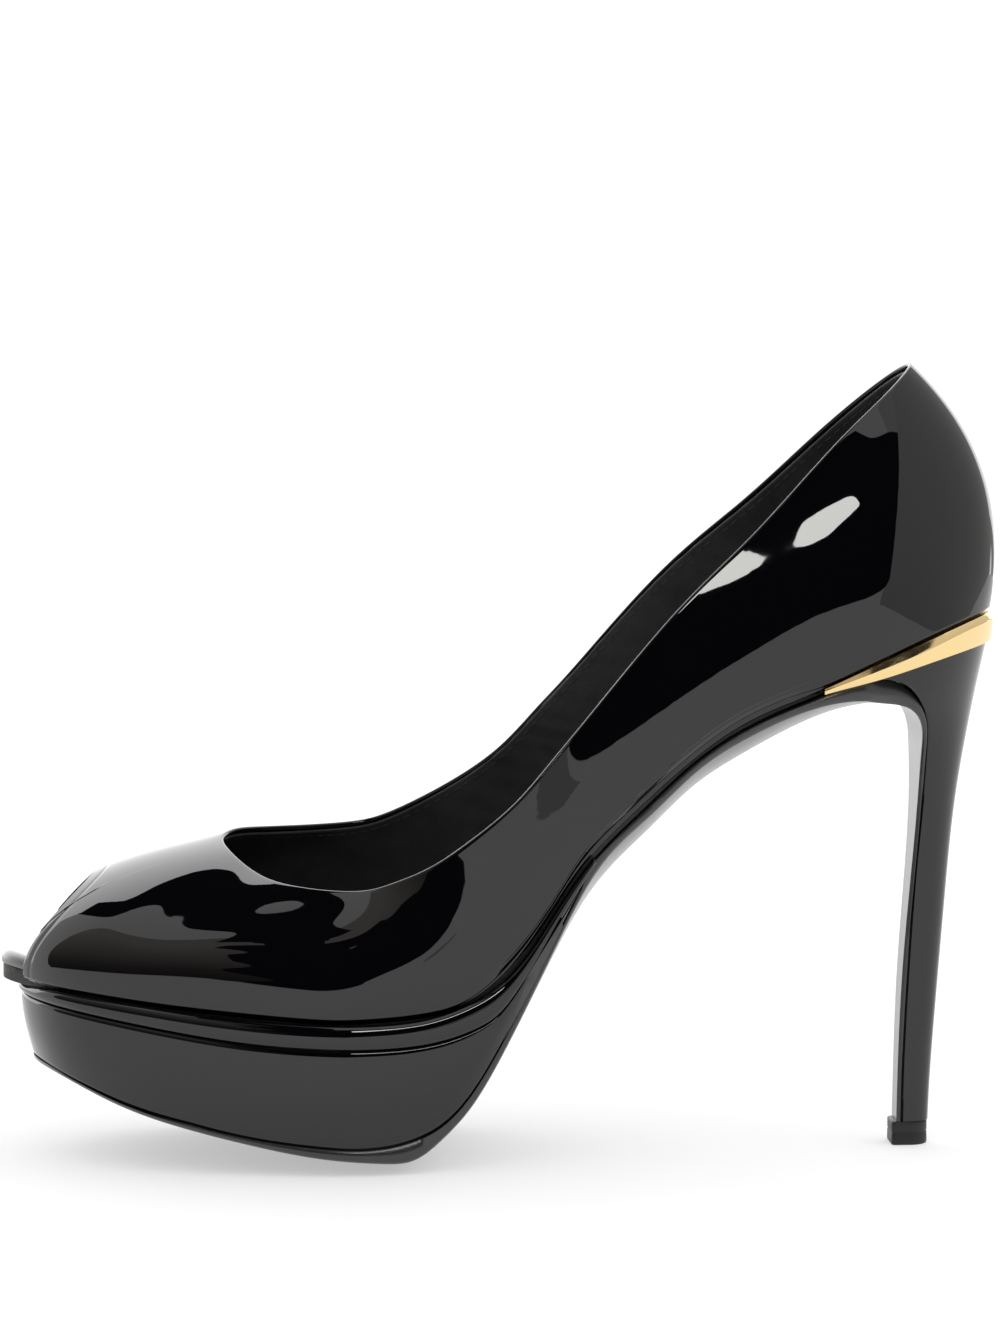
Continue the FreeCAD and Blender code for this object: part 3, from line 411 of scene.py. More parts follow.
def upper_outer_depth(u, points):
    """How far the leather dips under its smooth surface: foot, waist fold, seam, toe line."""
    foot = ring_at(CONTROL_POLES[0], u)[:, None]
    height = np.linalg.norm(points - foot, axis=2)
    rounding = FOOT_ROUNDING * (1 - smooth_step(height, 0, FOOT_ROUNDING_HEIGHT)) ** 2
    waist = between(foot[..., 0], WAIST_START_X, WAIST_END_X)
    below = 1 - np.clip(height / WAIST_FOLD_HEIGHT, 0, 1)
    crease = groove(height - WAIST_FOLD_HEIGHT, CREASE_SIZE, CREASE_SIZE)
    fold = waist * (WAIST_FOLD_DEPTH * below ** 0.8 + crease)
    at_heel = points[..., 0] > HEEL_PART_X
    seam = np.where(at_heel, groove(points[..., 1], SEAM_HALF_WIDTH, SEAM_DEPTH), 0)
    at_toe = (points[..., 0] < TOE_PART_X) & (points[..., 2] < PEEP_EDGE[0][1])
    off_line = behind_peep_edge(points) - TOE_LINE_GAP
    toe_line = np.where(at_toe, groove(off_line, TOE_LINE_HALF_WIDTH, TOE_LINE_DEPTH), 0)
    return rounding + fold + seam + toe_line


def make_upper(material):
    """Patent wall with a folded topline; its foot is tucked under at the feather line."""
    u = column_parameters()
    v_low = toe_opening_share(u)
    v_high = 1 - UPPER_THICKNESS / 2 / column_lengths(u)

    def inner_depth(u, points):
        return np.full(points.shape[:2], UPPER_THICKNESS)

    loops = rounded_shell(u, v_low, v_high, upper_outer_depth, inner_depth, 110, 16)
    at_feather = v_low == 0
    inwards = unit(outline(0, u) - outline(5, u))
    flat = np.column_stack([inwards, np.zeros(len(u))])
    for row, (inward, down) in enumerate(FOOT_TUCK, start=-len(FOOT_TUCK)):
        tucked = loops[:, 0] - flat * inward - np.array([0, 0, down])
        loops[at_feather, row] = tucked[at_feather]
    return piece(loft("patent_upper", loops, closed=True), "patent_leather", material, "upper")


def lining_depth(extra):
    """Depth of the lining below the upper's face, more where the counter lies behind it."""
    def depth(u, points):
        counter = between(u, COUNTER_START_U, COUNTER_END_U)
        even = LINING_GAP + COUNTER_SPACE * counter + extra
        return np.broadcast_to(even[:, None], points.shape[:2])
    return depth


def wrinkled_lining(u, points):
    """The lining's inner face, with the soft crosswise wrinkles of the waist."""
    depth = lining_depth(LINING_THICKNESS)(u, points)
    x = points[..., 0]
    z = points[..., 2]
    waves = np.sin(0.55 * x + 0.9 * z + 1.3 * np.sin(0.21 * z)) * np.sin(0.23 * x - 0.35 * z)
    return depth + WRINKLE_DEPTH * between(x, WRINKLE_START_X, WRINKLE_END_X) * waves


def make_lining(material):
    u = column_parameters()
    v_low = toe_opening_share(u)
    v_high = 1 - LINING_DROP / column_lengths(u)
    loops = rounded_shell(u, v_low, v_high, lining_depth(0.0), wrinkled_lining, 24, 90)
    return piece(loft("lining_leather", loops, closed=True), "lining_leather", material, "lining")


STITCH_LENGTH = 1.9
STITCH_PITCH = 2.6
STITCH_RADIUS = 0.2
STITCH_DROP = 2.3
STITCH_SHARES = (0, 0.08, 0.25, 0.5, 0.75, 0.92, 1)
STITCH_SIDES = 8


def stitch_ring(centre, ahead, out, share):
    """Points round the thread at a share of a stitch, whose ends dip into the leather."""
    side = np.cross(ahead, out)
    size = STITCH_RADIUS * math.sqrt(max(1 - (2 * share - 1) ** 4, 0.04))
    sink = 0.35 * STITCH_RADIUS * (2 * share - 1) ** 2
    turns = np.arange(STITCH_SIDES) * 2 * math.pi / STITCH_SIDES
    return [centre + (out * math.sin(turn) * 0.8 + side * math.cos(turn)) * size - out * sink
            for turn in turns]


def make_stitches(material):
    """A row of stitches in the lining, just under the folded topline."""
    u = np.linspace(0, RIB_COUNT, 6000, endpoint=False)
    v = (1 - STITCH_DROP / column_lengths(u))[:, None]
    points, normals, _ = wall_frame(u, v)
    line = (points - normals * wrinkled_lining(u, points)[..., None])[:, 0]
    inwards = -normals[:, 0]
    travel = np.concatenate([[0], np.cumsum(np.linalg.norm(np.diff(line, axis=0), axis=1))])
    vertices = []
    faces = []
    for start in np.arange(0, travel[-1] - STITCH_PITCH, STITCH_PITCH):
        first = len(vertices)
        for share in STITCH_SHARES:
            place = start + share * STITCH_LENGTH
            centre = np.array([np.interp(place, travel, line[:, k]) for k in range(3)])
            i = np.searchsorted(travel, place)
            ahead = unit(line[(i + 3) % len(line)] - line[(i - 3) % len(line)])
            vertices += stitch_ring(centre, ahead, inwards[min(i, len(inwards) - 1)], share)
        faces += grid_faces(len(STITCH_SHARES), STITCH_SIDES, False, True, first)
        last_ring = len(vertices) - STITCH_SIDES
        faces += [[ring + k for k in range(STITCH_SIDES)] for ring in (first, last_ring)]
    thing = finish_mesh("topline_stitches", vertices, faces)
    return piece(thing, "lining_leather", material)


# ---------------- insole

SLAB_FOOT_ROUNDING = 0.25
SLAB_SPINE = (-86, 84)
SOCK_WRAP = 0.35
TIP_FULLNESS = 0.35
TIP_X = (-108, -95)


def rounded_slab(name, inset, low, high, reach, rise):
    """Slab over the whole foot between two heights above the feather line, fuller at the tip.

    Its top edge is rounded over a reach inwards and a rise, its lower edge only a little.
    """
    u = np.arange(0, RIB_COUNT, 1 / 10)
    rim = outline(inset, u)
    spine = np.stack([np.clip(rim[:, 0], *SLAB_SPINE), np.zeros(len(u))], axis=1)
    inwards = unit(spine - rim)
    middle_shares = (1.0, 0.85, 0.65, 0.4, 0.2)

    def level(points, lift):
        fuller = 1 + TIP_FULLNESS * (1 - smooth_step(points[:, 0], *TIP_X))
        return np.column_stack([points, FEATHER_LINE(points[:, 0]) + lift * fuller])

    loops = [level(rim + (spine - rim) * share, low) for share in middle_shares]
    for turn in np.radians((-90, -60, -30, 0)):
        back = SLAB_FOOT_ROUNDING * (1 - math.cos(turn))
        loops.append(level(rim + inwards * back, low + SLAB_FOOT_ROUNDING * (1 + math.sin(turn))))
    for turn in np.radians(np.arange(0, 91, 10)):
        back = reach * (1 - math.cos(turn))
        loops.append(level(rim + inwards * back, high - rise * (1 - math.sin(turn))))
    loops += [level(rim + (spine - rim) * share, high) for share in reversed(middle_shares)]
    faces = grid_faces(len(loops), len(u), False, True)
    return finish_mesh(name, np.concatenate(loops), faces)


def make_sock(material):
    """Sock leather over the cushion, wrapped round the insole's tip in front."""
    points = zip(INSOLE_INSET.place, INSOLE_INSET.value)
    wrap = Profile(*[(x, value - (SOCK_WRAP if x < -95 else 0)) for x, value in points])
    thing = rounded_slab("wrapped_sock", wrap, 1.36, 3.6, 2.6, 1.7)
    return piece(thing, "sock_leather", material, "sock_lining", "insole_cushion")


def make_insole_board(material):
    thing = rounded_slab("insole_board_edge", INSOLE_INSET, -1.2, 1.3, 0.3, 0.3)
    return piece(thing, "fibreboard", material, "insole_board")


# ---------------- platform and sole

RAND_END_X = 19.5
RAND_DROP = 0.6
RAND_TOE_DROP = 1.2
RAND_TOE_X = (-108, -97)
RAND_PROUD = 0.25
RAND_ROUNDING_ABOVE = 1.5
RAND_ROUNDING_BELOW = 1.0
RAND_DEPTH = 3.0
WALL_END_X = 16.5
WALL_BELLY = 0.55
WALL_EDGE = 0.4
WALL_DEPTH = 4


def band_parameters(last_x):
    """u from the inner side round the toe to the outer side, up to last_x on both."""
    u = np.arange(RIB_COUNT - 10, RIB_COUNT + 11, 1 / 16)
    return u[outline(0, u)[:, 0] <= last_x]


def band_section(u, insets, heights):
    """Loops from matching lists of inset and height, each a function of X."""
    plan = outline(0, u)
    out = unit(outline(-1, u) - outline(1, u))
    loops = []
    for inset, height in zip(insets, heights):
        points = plan - out * inset(plan[:, 0])[:, None]
        loops.append(np.column_stack([points, height(points[:, 0])]))
    return np.stack(loops, axis=1)


def make_rand(material):
    """Rounded band between the upper and the platform, which thins out at the waist."""
    def top(x):
        return FEATHER_LINE(x) - RAND_DROP - RAND_TOE_DROP * (1 - smooth_step(x, *RAND_TOE_X))

    def bottom(x):
        return np.minimum(RAND_BOTTOM(x) + 0.1, top(x) - 0.5)

    def under_upper(x):
        return FEATHER_LINE(x) - 1.0

    def inner_side(x):
        return RAND_INSET(x) + RAND_DEPTH

    insets = []
    heights = []
    for turn in np.radians(np.linspace(90, -90, 15)):
        rounding = RAND_ROUNDING_ABOVE if turn > 0 else RAND_ROUNDING_BELOW
        bulge = rounding * (1 - math.cos(turn) ** 0.9) - RAND_PROUD
        share = 0.5 + 0.5 * math.sin(turn)
        insets.append(lambda x, bulge=bulge: RAND_INSET(x) + bulge)
        heights.append(lambda x, share=share: bottom(x) + (top(x) - bottom(x)) * share)
    insets += [inner_side, inner_side]
    heights += [bottom, under_upper]
    thing = loft("rand_roll", band_section(band_parameters(RAND_END_X), insets, heights))
    return piece(thing, "patent_leather", material, "rand_band")


def sole_edge_top(x):
    """Height of the top of the sole's edge, where the platform's wall ends."""
    low, high, _ = sole_edges(x)
    lift = SOLE_CURL(x) * ((high - low) / 2 / SOLE_HALF_WIDTH(x)) ** 2
    return np.minimum(OUTSOLE_TOP(x), OUTSOLE_BOTTOM(x) + lift + SOLE_EDGE(x))


def make_platform_wall(material):
    """Patent-covered wall of the platform, tapering in towards the sole."""
    def top(x):
        return np.maximum(RAND_BOTTOM(x) - 0.05, OUTSOLE_TOP(x) + 0.35)

    def bottom(x):
        return sole_edge_top(x) + 0.05

    def inset_at(row, x):
        span = np.maximum(top(x) - bottom(x), 0.2)
        slant = PLATFORM_INSET(x) + (SOLE_INSET(x) - PLATFORM_INSET(x)) * row ** 1.15
        belly = WALL_BELLY * np.sin(np.pi * row) * smooth_step(span, 2, 14)
        high_edge = WALL_EDGE * np.clip(1 - row * span / WALL_EDGE, 0, 1) ** 2
        low_edge = 0.6 * WALL_EDGE * np.clip(1 - (1 - row) * span / WALL_EDGE, 0, 1) ** 2
        return slant - belly + high_edge + low_edge

    insets = []
    heights = []
    for row in np.linspace(0, 1, 25):
        insets.append(lambda x, row=row: inset_at(row, x))
        heights.append(lambda x, row=row: top(x) + (bottom(x) - top(x)) * row)
    insets += [lambda x: SOLE_INSET(x) + WALL_DEPTH, lambda x: PLATFORM_INSET(x) + WALL_DEPTH]
    heights += [bottom, top]
    thing = loft("platform_wall", band_section(band_parameters(WALL_END_X), insets, heights))
    return piece(thing, "patent_leather", material, "platform_cover")


def spline_points(points, count):
    """Evenly spread points along a smooth line through a few side-view points."""
    points = np.array(points, float)
    travel = np.concatenate([[0], np.cumsum(np.linalg.norm(np.diff(points, axis=0), axis=1))])
    places = np.linspace(0, travel[-1], count)
    return np.stack([Profile(*zip(travel, points[:, k]))(places) for k in range(2)], axis=1)


def sole_edges(x):
    """Y of the sole's outer and inner edge at each X, from its outline."""
    u = np.linspace(0, RIB_COUNT, 3001)[:-1]
    ring = outline(SOLE_INSET, u)
    toe = ring[:, 0].argmin()
    ring = np.roll(ring, -toe, axis=0)
    heel = ring[:, 0].argmax()
    outer = ring[:heel]
    inner = ring[heel:][::-1]
    return (np.interp(x, outer[:, 0], outer[:, 1]), np.interp(x, inner[:, 0], inner[:, 1]),
            ring[:, 0].min())


SOLE_TOE_ZONE = 16
SOLE_TOE_GAP = 0.02
SOLE_STEP = 1.2
SOLE_END_X = 77.5
SOLE_CORNER = 0.45
LEAST_EDGE = 0.9
SEAT_START_X = 17
FLAP_THICKNESS = (1.15, 9)
FLAP_TURN_X = (78, 86)
FLAP_NARROW_X = (78, 88)


def tread_stations():
    """Stations along tread and waist: place, inward, thickness, both edges and curl.

    They lie closer together at the toe.
    """
    toe_x = sole_edges(np.zeros(1))[2] + SOLE_TOE_GAP
    toe = toe_x + SOLE_TOE_ZONE * np.linspace(0, 1, 26) ** 2
    x = np.concatenate([toe, np.arange(toe[-1] + SOLE_STEP, SOLE_END_X, SOLE_STEP)])
    low, high, _ = sole_edges(x)
    top = np.where(x < SEAT_START_X, OUTSOLE_TOP(x), FEATHER_LINE(x) - 1.5)
    place = np.column_stack([x, OUTSOLE_BOTTOM(x)])
    upright = np.tile([0.0, 1.0], (len(x), 1))
    return place, upright, top - place[:, 1], low, high, SOLE_CURL(x)


def flap_stations():
    """The same stations down the front of the heel, where the leather lies on the breast."""
    place = spline_points(FLAP_FRONT, 90)[1:]
    x, z = place.T
    tangent = unit(np.gradient(place, axis=0))
    to_breast = np.column_stack([-tangent[:, 1], tangent[:, 0]])
    down_the_heel = np.arange(len(x)) >= np.argmax(x)
    turn = np.where(down_the_heel, 1, smooth_step(x, *FLAP_TURN_X))[:, None]
    inward = unit(np.array([0, 1.0]) * (1 - turn) + to_breast * turn)
    share = np.where(down_the_heel, 1, smooth_step(x, *FLAP_NARROW_X))
    half_flap = HEEL_HALF_WIDTH(z) - 0.15
    low, high, _ = sole_edges(np.minimum(x, 90))
    breast = spline_points(HEEL_BREAST, 400)
    gap = np.array([np.linalg.norm(breast - point, axis=1).min() for point in place])
    return (place, inward, np.clip(gap, *FLAP_THICKNESS), low * (1 - share) - half_flap * share,
            high * (1 - share) + half_flap * share, SOLE_CURL(x) * (1 - share))


def sole_section(place, inward, thickness, low, high, curl):
    """One loop across the sole: its crowned face, an edge, its flat back, the other edge."""
    middle = (low + high) / 2
    half = (high - low) / 2
    wide = SOLE_HALF_WIDTH(place[0])
    edge_lift = curl * (half / wide) ** 2
    edge_height = min(max(thickness - edge_lift, LEAST_EDGE), SOLE_EDGE(place[0]))
    back = edge_lift + edge_height
    corner = min(SOLE_CORNER, SOLE_CORNER * half)

    def point(depth, y, lowest):
        x, z = place + inward * depth
        return x, y, max(z, lowest)

    loop = []
    for share in np.sin(np.linspace(-1, 1, 33) * math.pi / 2):
        y = middle + share * half
        rise = curl * ((y - SOLE_MIDDLE(place[0])) / wide) ** 2
        rounding = corner * smooth_step(abs(share) * half, half - corner, half) ** 2
        loop.append(point(rise + rounding, y, 0.0))
    edge = ((edge_lift + corner + 0.3 * edge_height, -0.12), (back - 0.3, -0.05), (back, 0.35))
    loop += [point(depth, high - pull * min(half, 1), 0.4) for depth, pull in edge]
    loop += [point(back, middle + share * half, 0.5) for share in (0.6, 0, -0.6)]
    loop += [point(depth, low + pull * min(half, 1), 0.4) for depth, pull in reversed(edge)]
    return loop


def make_outsole(material):
    """Thin lacquered leather sole: crowned across, curled up at its edges, then down the heel."""
    stations = [np.concatenate(pair) for pair in zip(tread_stations(), flap_stations())]
    loops = [sole_section(*station) for station in zip(*stations)]
    thing = loft("leather_outsole", np.array(loops), sharp=55)
    return piece(thing, "sole_leather", material, "outsole")


# ---------------- heel

def heel_half_at(x, z):
    """Half width of the heel's D-shaped section at a place in it."""
    rear = HEEL_REAR(z)
    depth = HEEL_BACK_DEPTH(z)
    past = np.clip((x - (rear - depth)) / depth, 0, 1)
    return HEEL_HALF_WIDTH(z) * np.sqrt(np.clip(1 - past ** 2, 0, 1))


def breast_x(z):
    """Front of the heel's wrap at a height, just behind the breast line."""
    line = spline_points(HEEL_BREAST, 400)[::-1]
    return np.interp(np.minimum(z, BREAST_TOP_Z), line[:, 1], line[:, 0]) + 0.1


WRAP_THICKNESS = 0.8
WRAP_FRONT_EDGE = 0.25


def make_heel_wrap(material):
    """Patent leather round the sides and back of the heel."""
    around = np.linspace(-1, 1, 97)
    rearward = np.cos(around * math.pi / 2)
    side = np.sign(around)
    foot = HEEL_FOOT_Z + 0.03
    top = np.full(len(around), 108.0)
    for _ in range(30):
        x = breast_x(top) + (HEEL_REAR(top) - breast_x(top)) * rearward
        top = STRIP_LOWER(x) + 0.5

    def face(depth):
        grid = []
        for row in np.linspace(0, 1, 150):
            z = foot + (top - foot) * row
            x = breast_x(z) + (HEEL_REAR(z) - breast_x(z)) * rearward
            y = heel_half_at(x, z) * side
            grid.append(np.column_stack([x - depth * rearward ** 4,
                                         y - depth * side * (1 - rearward ** 4), z]))
        return np.stack(grid)

    outer = face(0)
    inner = face(WRAP_THICKNESS)[:, ::-1]
    outer[:, 0, 1] += WRAP_FRONT_EDGE
    outer[:, -1, 1] -= WRAP_FRONT_EDGE
    thing = loft("heel_wrap", np.concatenate([outer, inner], axis=1), sharp=50)
    return piece(thing, "patent_leather", material, "heel_cover")


STRIP_PROUD = 1.1
STRIP_DEPTH = 1.2
STRIP_START_X = 60
STRIP_LEAST_HEIGHT = 0.3
STRIP_SWELL_X = (69, 80)
STRIP_RIDGE_X = (84, 104)
STRIP_ENDS_U = (12.08, 17.92)
STRIP_BODY_U = (12.6, 17.4)


def make_strip(material):
    """Gilt strip round the heel seat: a faceted wedge that tapers away along both sides."""
    u = np.concatenate([
        np.linspace(STRIP_ENDS_U[0], STRIP_BODY_U[0], 24, endpoint=False),
        np.linspace(*STRIP_BODY_U, 160, endpoint=False),
        np.linspace(STRIP_BODY_U[1], STRIP_ENDS_U[1], 24)])
    plan = outline(0, u)
    out = unit(outline(-1, u) - outline(1, u))
    x = plan[:, 0]
    seat = FEATHER_LINE(x) + 0.1
    low = np.minimum(STRIP_LOWER(np.maximum(x, STRIP_START_X)), seat - STRIP_LEAST_HEIGHT)
    proud = STRIP_PROUD * (0.35 + 0.65 * smooth_step(x, *STRIP_SWELL_X))
    ridge = 0.6 + 0.2 * smooth_step(x, *STRIP_RIDGE_X)
    inside = np.full(len(u), -STRIP_DEPTH)
    section = [
        (inside, 1.0), (0.25 * proud, 1.0), (0.4 * proud, 0.98), (0.93 * proud, ridge + 0.05),
        (proud, ridge), (0.97 * proud, ridge - 0.05), (0.55 * proud, 0.07),
        (0.4 * proud, 0.0), (inside, 0.0)]
    loops = [np.column_stack([plan + out * distance[:, None], low + (seat - low) * share])
             for distance, share in section]
    thing = loft("gilt_strip", np.stack(loops, axis=1), sharp=28)
    return piece(thing, "gilt_metal", material, "heel_trim_strip")


TIP_FRONT = 87.75
TIP_REAR = 96.2
TIP_HALF = 4.25
TIP_CORNER = 0.8
TIP_LEVELS = (
    (0, 0.35), (0.12, 0.14), (0.35, 0.03), (0.8, 0.0), (2.6, 0.05), (2.75, 0.16),
    (2.95, 0.16), (3.1, 0.05), (4.9, 0.03), (5.15, 0.1), (5.3, 0.3))


def make_heel_tip(material):
    """Moulded rubber top piece, flat in front and round behind, with softened edges."""
    shoulder = TIP_REAR - TIP_HALF
    corner = [(TIP_FRONT + TIP_CORNER * (1 - math.cos(turn)),
               -TIP_HALF + TIP_CORNER * (1 - math.sin(turn)))
              for turn in np.radians(np.arange(0, 91, 15))]
    side = corner + [(shoulder - 1.5, -TIP_HALF)]
    back = [(shoulder + TIP_HALF * math.cos(turn), TIP_HALF * math.sin(turn))
            for turn in np.radians(np.arange(-90, 91, 7.5))]
    shape = np.array(side + back + [(x, -y) for x, y in reversed(side)])
    away = unit(shape - (shoulder - 0.5, 0))
    loops = [np.column_stack([shape - away * inset, np.full(len(shape), z)])
             for z, inset in TIP_LEVELS]
    thing = loft("heel_tip", np.stack(loops), sharp=60)
    return piece(thing, "tip_rubber", material, "top_piece")


# ---------------- materials

class Recipe:
    """A material built node by node on a Principled surface."""

    def __init__(self, name, colour, roughness, metallic=0.0):
        self.material = bpy.data.materials.new(name)
        self.material.use_nodes = True
        self.tree = self.material.node_tree
        self.surface = self.tree.nodes["Principled BSDF"]
        self.place = self.node("ShaderNodeTexCoord").outputs["Object"]
        self.set("Base Color", (*colour, 1))
        self.set("Roughness", roughness)
        self.set("Metallic", metallic)

    def node(self, kind):
        return self.tree.nodes.new(kind)

    def set(self, socket, value):
        self.surface.inputs[socket].default_value = value

    def link(self, start, end):
        self.tree.links.new(start, end)

    def stretched(self, scale):
        mapping = self.node("ShaderNodeMapping")
        mapping.inputs["Scale"].default_value = scale
        self.link(self.place, mapping.inputs["Vector"])
        return mapping.outputs["Vector"]

    def noise(self, scale, detail=3.0, vector=None):
        made = self.node("ShaderNodeTexNoise")
        made.inputs["Scale"].default_value = scale
        made.inputs["Detail"].default_value = detail
        self.link(vector or self.place, made.inputs["Vector"])
        return made.outputs["Fac"]

    def cells(self, scale):
        made = self.node("ShaderNodeTexVoronoi")
        made.inputs["Scale"].default_value = scale
        self.link(self.place, made.inputs["Vector"])
        return made.outputs["Distance"]

    def ramp(self, factor, *stops):
        made = self.node("ShaderNodeValToRGB")
        ramp = made.color_ramp
        for index, (position, colour) in enumerate(stops):
            stop = ramp.elements[index] if index < 2 else ramp.elements.new(position)
            stop.position = position
            stop.color = (*colour, 1)
        self.link(factor, made.inputs["Fac"])
        return made.outputs["Color"]

    def vary(self, socket, factor, low, high):
        made = self.node("ShaderNodeMapRange")
        made.inputs["To Min"].default_value = low
        made.inputs["To Max"].default_value = high
        self.link(factor, made.inputs["Value"])
        self.link(made.outputs["Result"], self.surface.inputs[socket])

    def bump(self, height, strength, depth_mm, socket="Normal", base=None):
        made = self.node("ShaderNodeBump")
        made.inputs["Strength"].default_value = strength
        made.inputs["Distance"].default_value = depth_mm * MM
        self.link(height, made.inputs["Height"])
        if base is not None:
            self.link(base, made.inputs["Normal"])
        self.link(made.outputs["Normal"], self.surface.inputs[socket])
        return made.outputs["Normal"]


def patent_leather():
    """Black leather under a thick clear film, with the film's faint orange peel."""
    recipe = Recipe("patent_leather", (0.0009, 0.0009, 0.0013), 0.42)
    recipe.set("Specular IOR Level", 0.0)
    recipe.set("Coat Weight", 1.0)
    recipe.set("Coat IOR", 1.58)
    recipe.bump(recipe.noise(170, detail=1.5), 0.25, 0.05, "Coat Normal")
    recipe.bump(recipe.cells(1400), 0.3, 0.05)
    recipe.vary("Coat Roughness", recipe.noise(60, detail=4), 0.012, 0.03)
    return recipe.material


def lining_leather():
    """Soft black leather with a pebbled grain and faint creases."""
    recipe = Recipe("lining_leather", (0.012, 0.0115, 0.011), 0.52)
    recipe.set("Specular IOR Level", 0.35)
    grain = recipe.cells(1300)
    creases = recipe.noise(260, detail=5, vector=recipe.stretched((1.0, 1.0, 0.45)))
    first = recipe.bump(grain, 0.45, 0.12)
    recipe.bump(creases, 0.5, 0.35, base=first)
    recipe.vary("Roughness", recipe.noise(420), 0.42, 0.62)
    colour = recipe.ramp(recipe.noise(90, detail=4),
                         (0.3, (0.013, 0.0125, 0.0125)), (0.75, (0.028, 0.0265, 0.0265)))
    recipe.link(colour, recipe.surface.inputs["Base Color"])
    return recipe.material


def thread():
    """Waxed thread, twisted."""
    recipe = Recipe("waxed_thread", (0.02, 0.02, 0.021), 0.45)
    twist = recipe.node("ShaderNodeTexWave")
    twist.inputs["Scale"].default_value = 700
    recipe.link(recipe.place, twist.inputs["Vector"])
    recipe.bump(twist.outputs["Fac"], 0.5, 0.06)
    return recipe.material


def sock_leather():
    recipe = Recipe("sock_leather", (0.055, 0.052, 0.048), 0.3)
    recipe.set("Specular IOR Level", 0.8)
    recipe.set("Coat Weight", 0.5)
    recipe.set("Coat Roughness", 0.22)
    recipe.bump(recipe.cells(1500), 0.35, 0.08)
    recipe.vary("Roughness", recipe.noise(300), 0.26, 0.36)
    return recipe.material


def board_edge():
    recipe = Recipe("painted_fibreboard", (0.014, 0.013, 0.012), 0.6)
    recipe.bump(recipe.noise(900, detail=6), 0.7, 0.3)
    recipe.vary("Roughness", recipe.noise(500), 0.4, 0.75)
    return recipe.material


def sole_leather():
    """Lacquered black sole leather: glossy, with a soft grain and fine rubbing on the tread."""
    recipe = Recipe("sole_leather", (0.004, 0.004, 0.0042), 0.4)
    recipe.set("Coat Weight", 0.75)
    recipe.set("Coat IOR", 1.55)
    rubbing = recipe.noise(700, detail=6, vector=recipe.stretched((0.15, 1.0, 1.0)))
    recipe.bump(rubbing, 0.2, 0.08)
    recipe.bump(recipe.noise(120, detail=2), 0.15, 0.1, "Coat Normal")
    recipe.vary("Coat Roughness", rubbing, 0.14, 0.3)
    return recipe.material


def gilt_metal():
    recipe = Recipe("gilt_metal", (0.89, 0.67, 0.33), 0.12, metallic=1.0)
    brushed = recipe.noise(900, detail=3, vector=recipe.stretched((0.08, 0.4, 1.0)))
    recipe.bump(brushed, 0.08, 0.02)
    recipe.vary("Roughness", recipe.noise(200, detail=5), 0.08, 0.2)
    return recipe.material


def tip_rubber():
    recipe = Recipe("tip_rubber", (0.012, 0.012, 0.013), 0.5)
    recipe.set("Specular IOR Level", 0.4)
    recipe.bump(recipe.noise(1200, detail=5), 0.4, 0.08)
    recipe.vary("Roughness", recipe.noise(300), 0.4, 0.6)
    return recipe.material


def speckled(name, dark, light, scale, roughness, depth_mm):
    """Plain material for the pieces inside: a mottled colour and a fine relief."""
    recipe = Recipe(name, light, roughness)
    colour = recipe.ramp(recipe.cells(scale), (0.1, dark), (0.6, light))
    recipe.link(colour, recipe.surface.inputs["Base Color"])
    recipe.bump(recipe.noise(scale * 2, detail=5), 0.6, depth_mm)
    recipe.vary("Roughness", recipe.noise(scale), roughness * 0.8, roughness * 1.2)
    return recipe.material


def brushed_metal(name, colour, roughness):
    """Metal with fine lines along X."""
    recipe = Recipe(name, colour, roughness, metallic=1.0)
    lines = recipe.noise(600, detail=4, vector=recipe.stretched((0.1, 1.0, 1.0)))
    recipe.bump(lines, 0.3, 0.05)
    recipe.vary("Roughness", lines, roughness * 0.7, roughness * 1.3)
    return recipe.material


def dress_inner_nodes():
    """Materials of the CAD pieces that stay: what lies inside the shoe."""
    cork = speckled("cork", (0.16, 0.08, 0.035), (0.45, 0.27, 0.13), 500, 0.8, 0.3)
    board = speckled("fibreboard", (0.30, 0.22, 0.14), (0.42, 0.32, 0.22), 900, 0.75, 0.15)
    plastic = speckled("moulded_plastic", (0.03, 0.03, 0.032), (0.05, 0.05, 0.052), 300, 0.4, 0.05)
    spring = brushed_metal("spring_steel", (0.35, 0.36, 0.38), 0.3)
    plain = brushed_metal("plain_steel", (0.62, 0.62, 0.64), 0.35)
    counter = speckled("counter_board", (0.20, 0.15, 0.10), (0.32, 0.25, 0.17), 800, 0.8, 0.15)
    dressing = {
        "heel_counter": counter, "forepart_filler": cork, "waist_filler": cork,
        "shank_board": board, "midsole_board": board, "platform_core": plastic,
        "heel_block": plastic, "steel_shank": spring, "shank_rivets": plain,
        "heel_dowel": plain, "heel_screw": plain, "heel_nails": plain,
        "top_piece_pin": plain,
    }
    for name, material in dressing.items():
        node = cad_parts[name]
        node.data.materials.clear()
        node.data.materials.append(material)


# ---------------- studio

FLOOR_FRONT = -3000
FLOOR_BACK = 1600
FLOOR_HALF_WIDTH = 4000
SWEEP_RADIUS = 1200
WALL_TOP = 4000


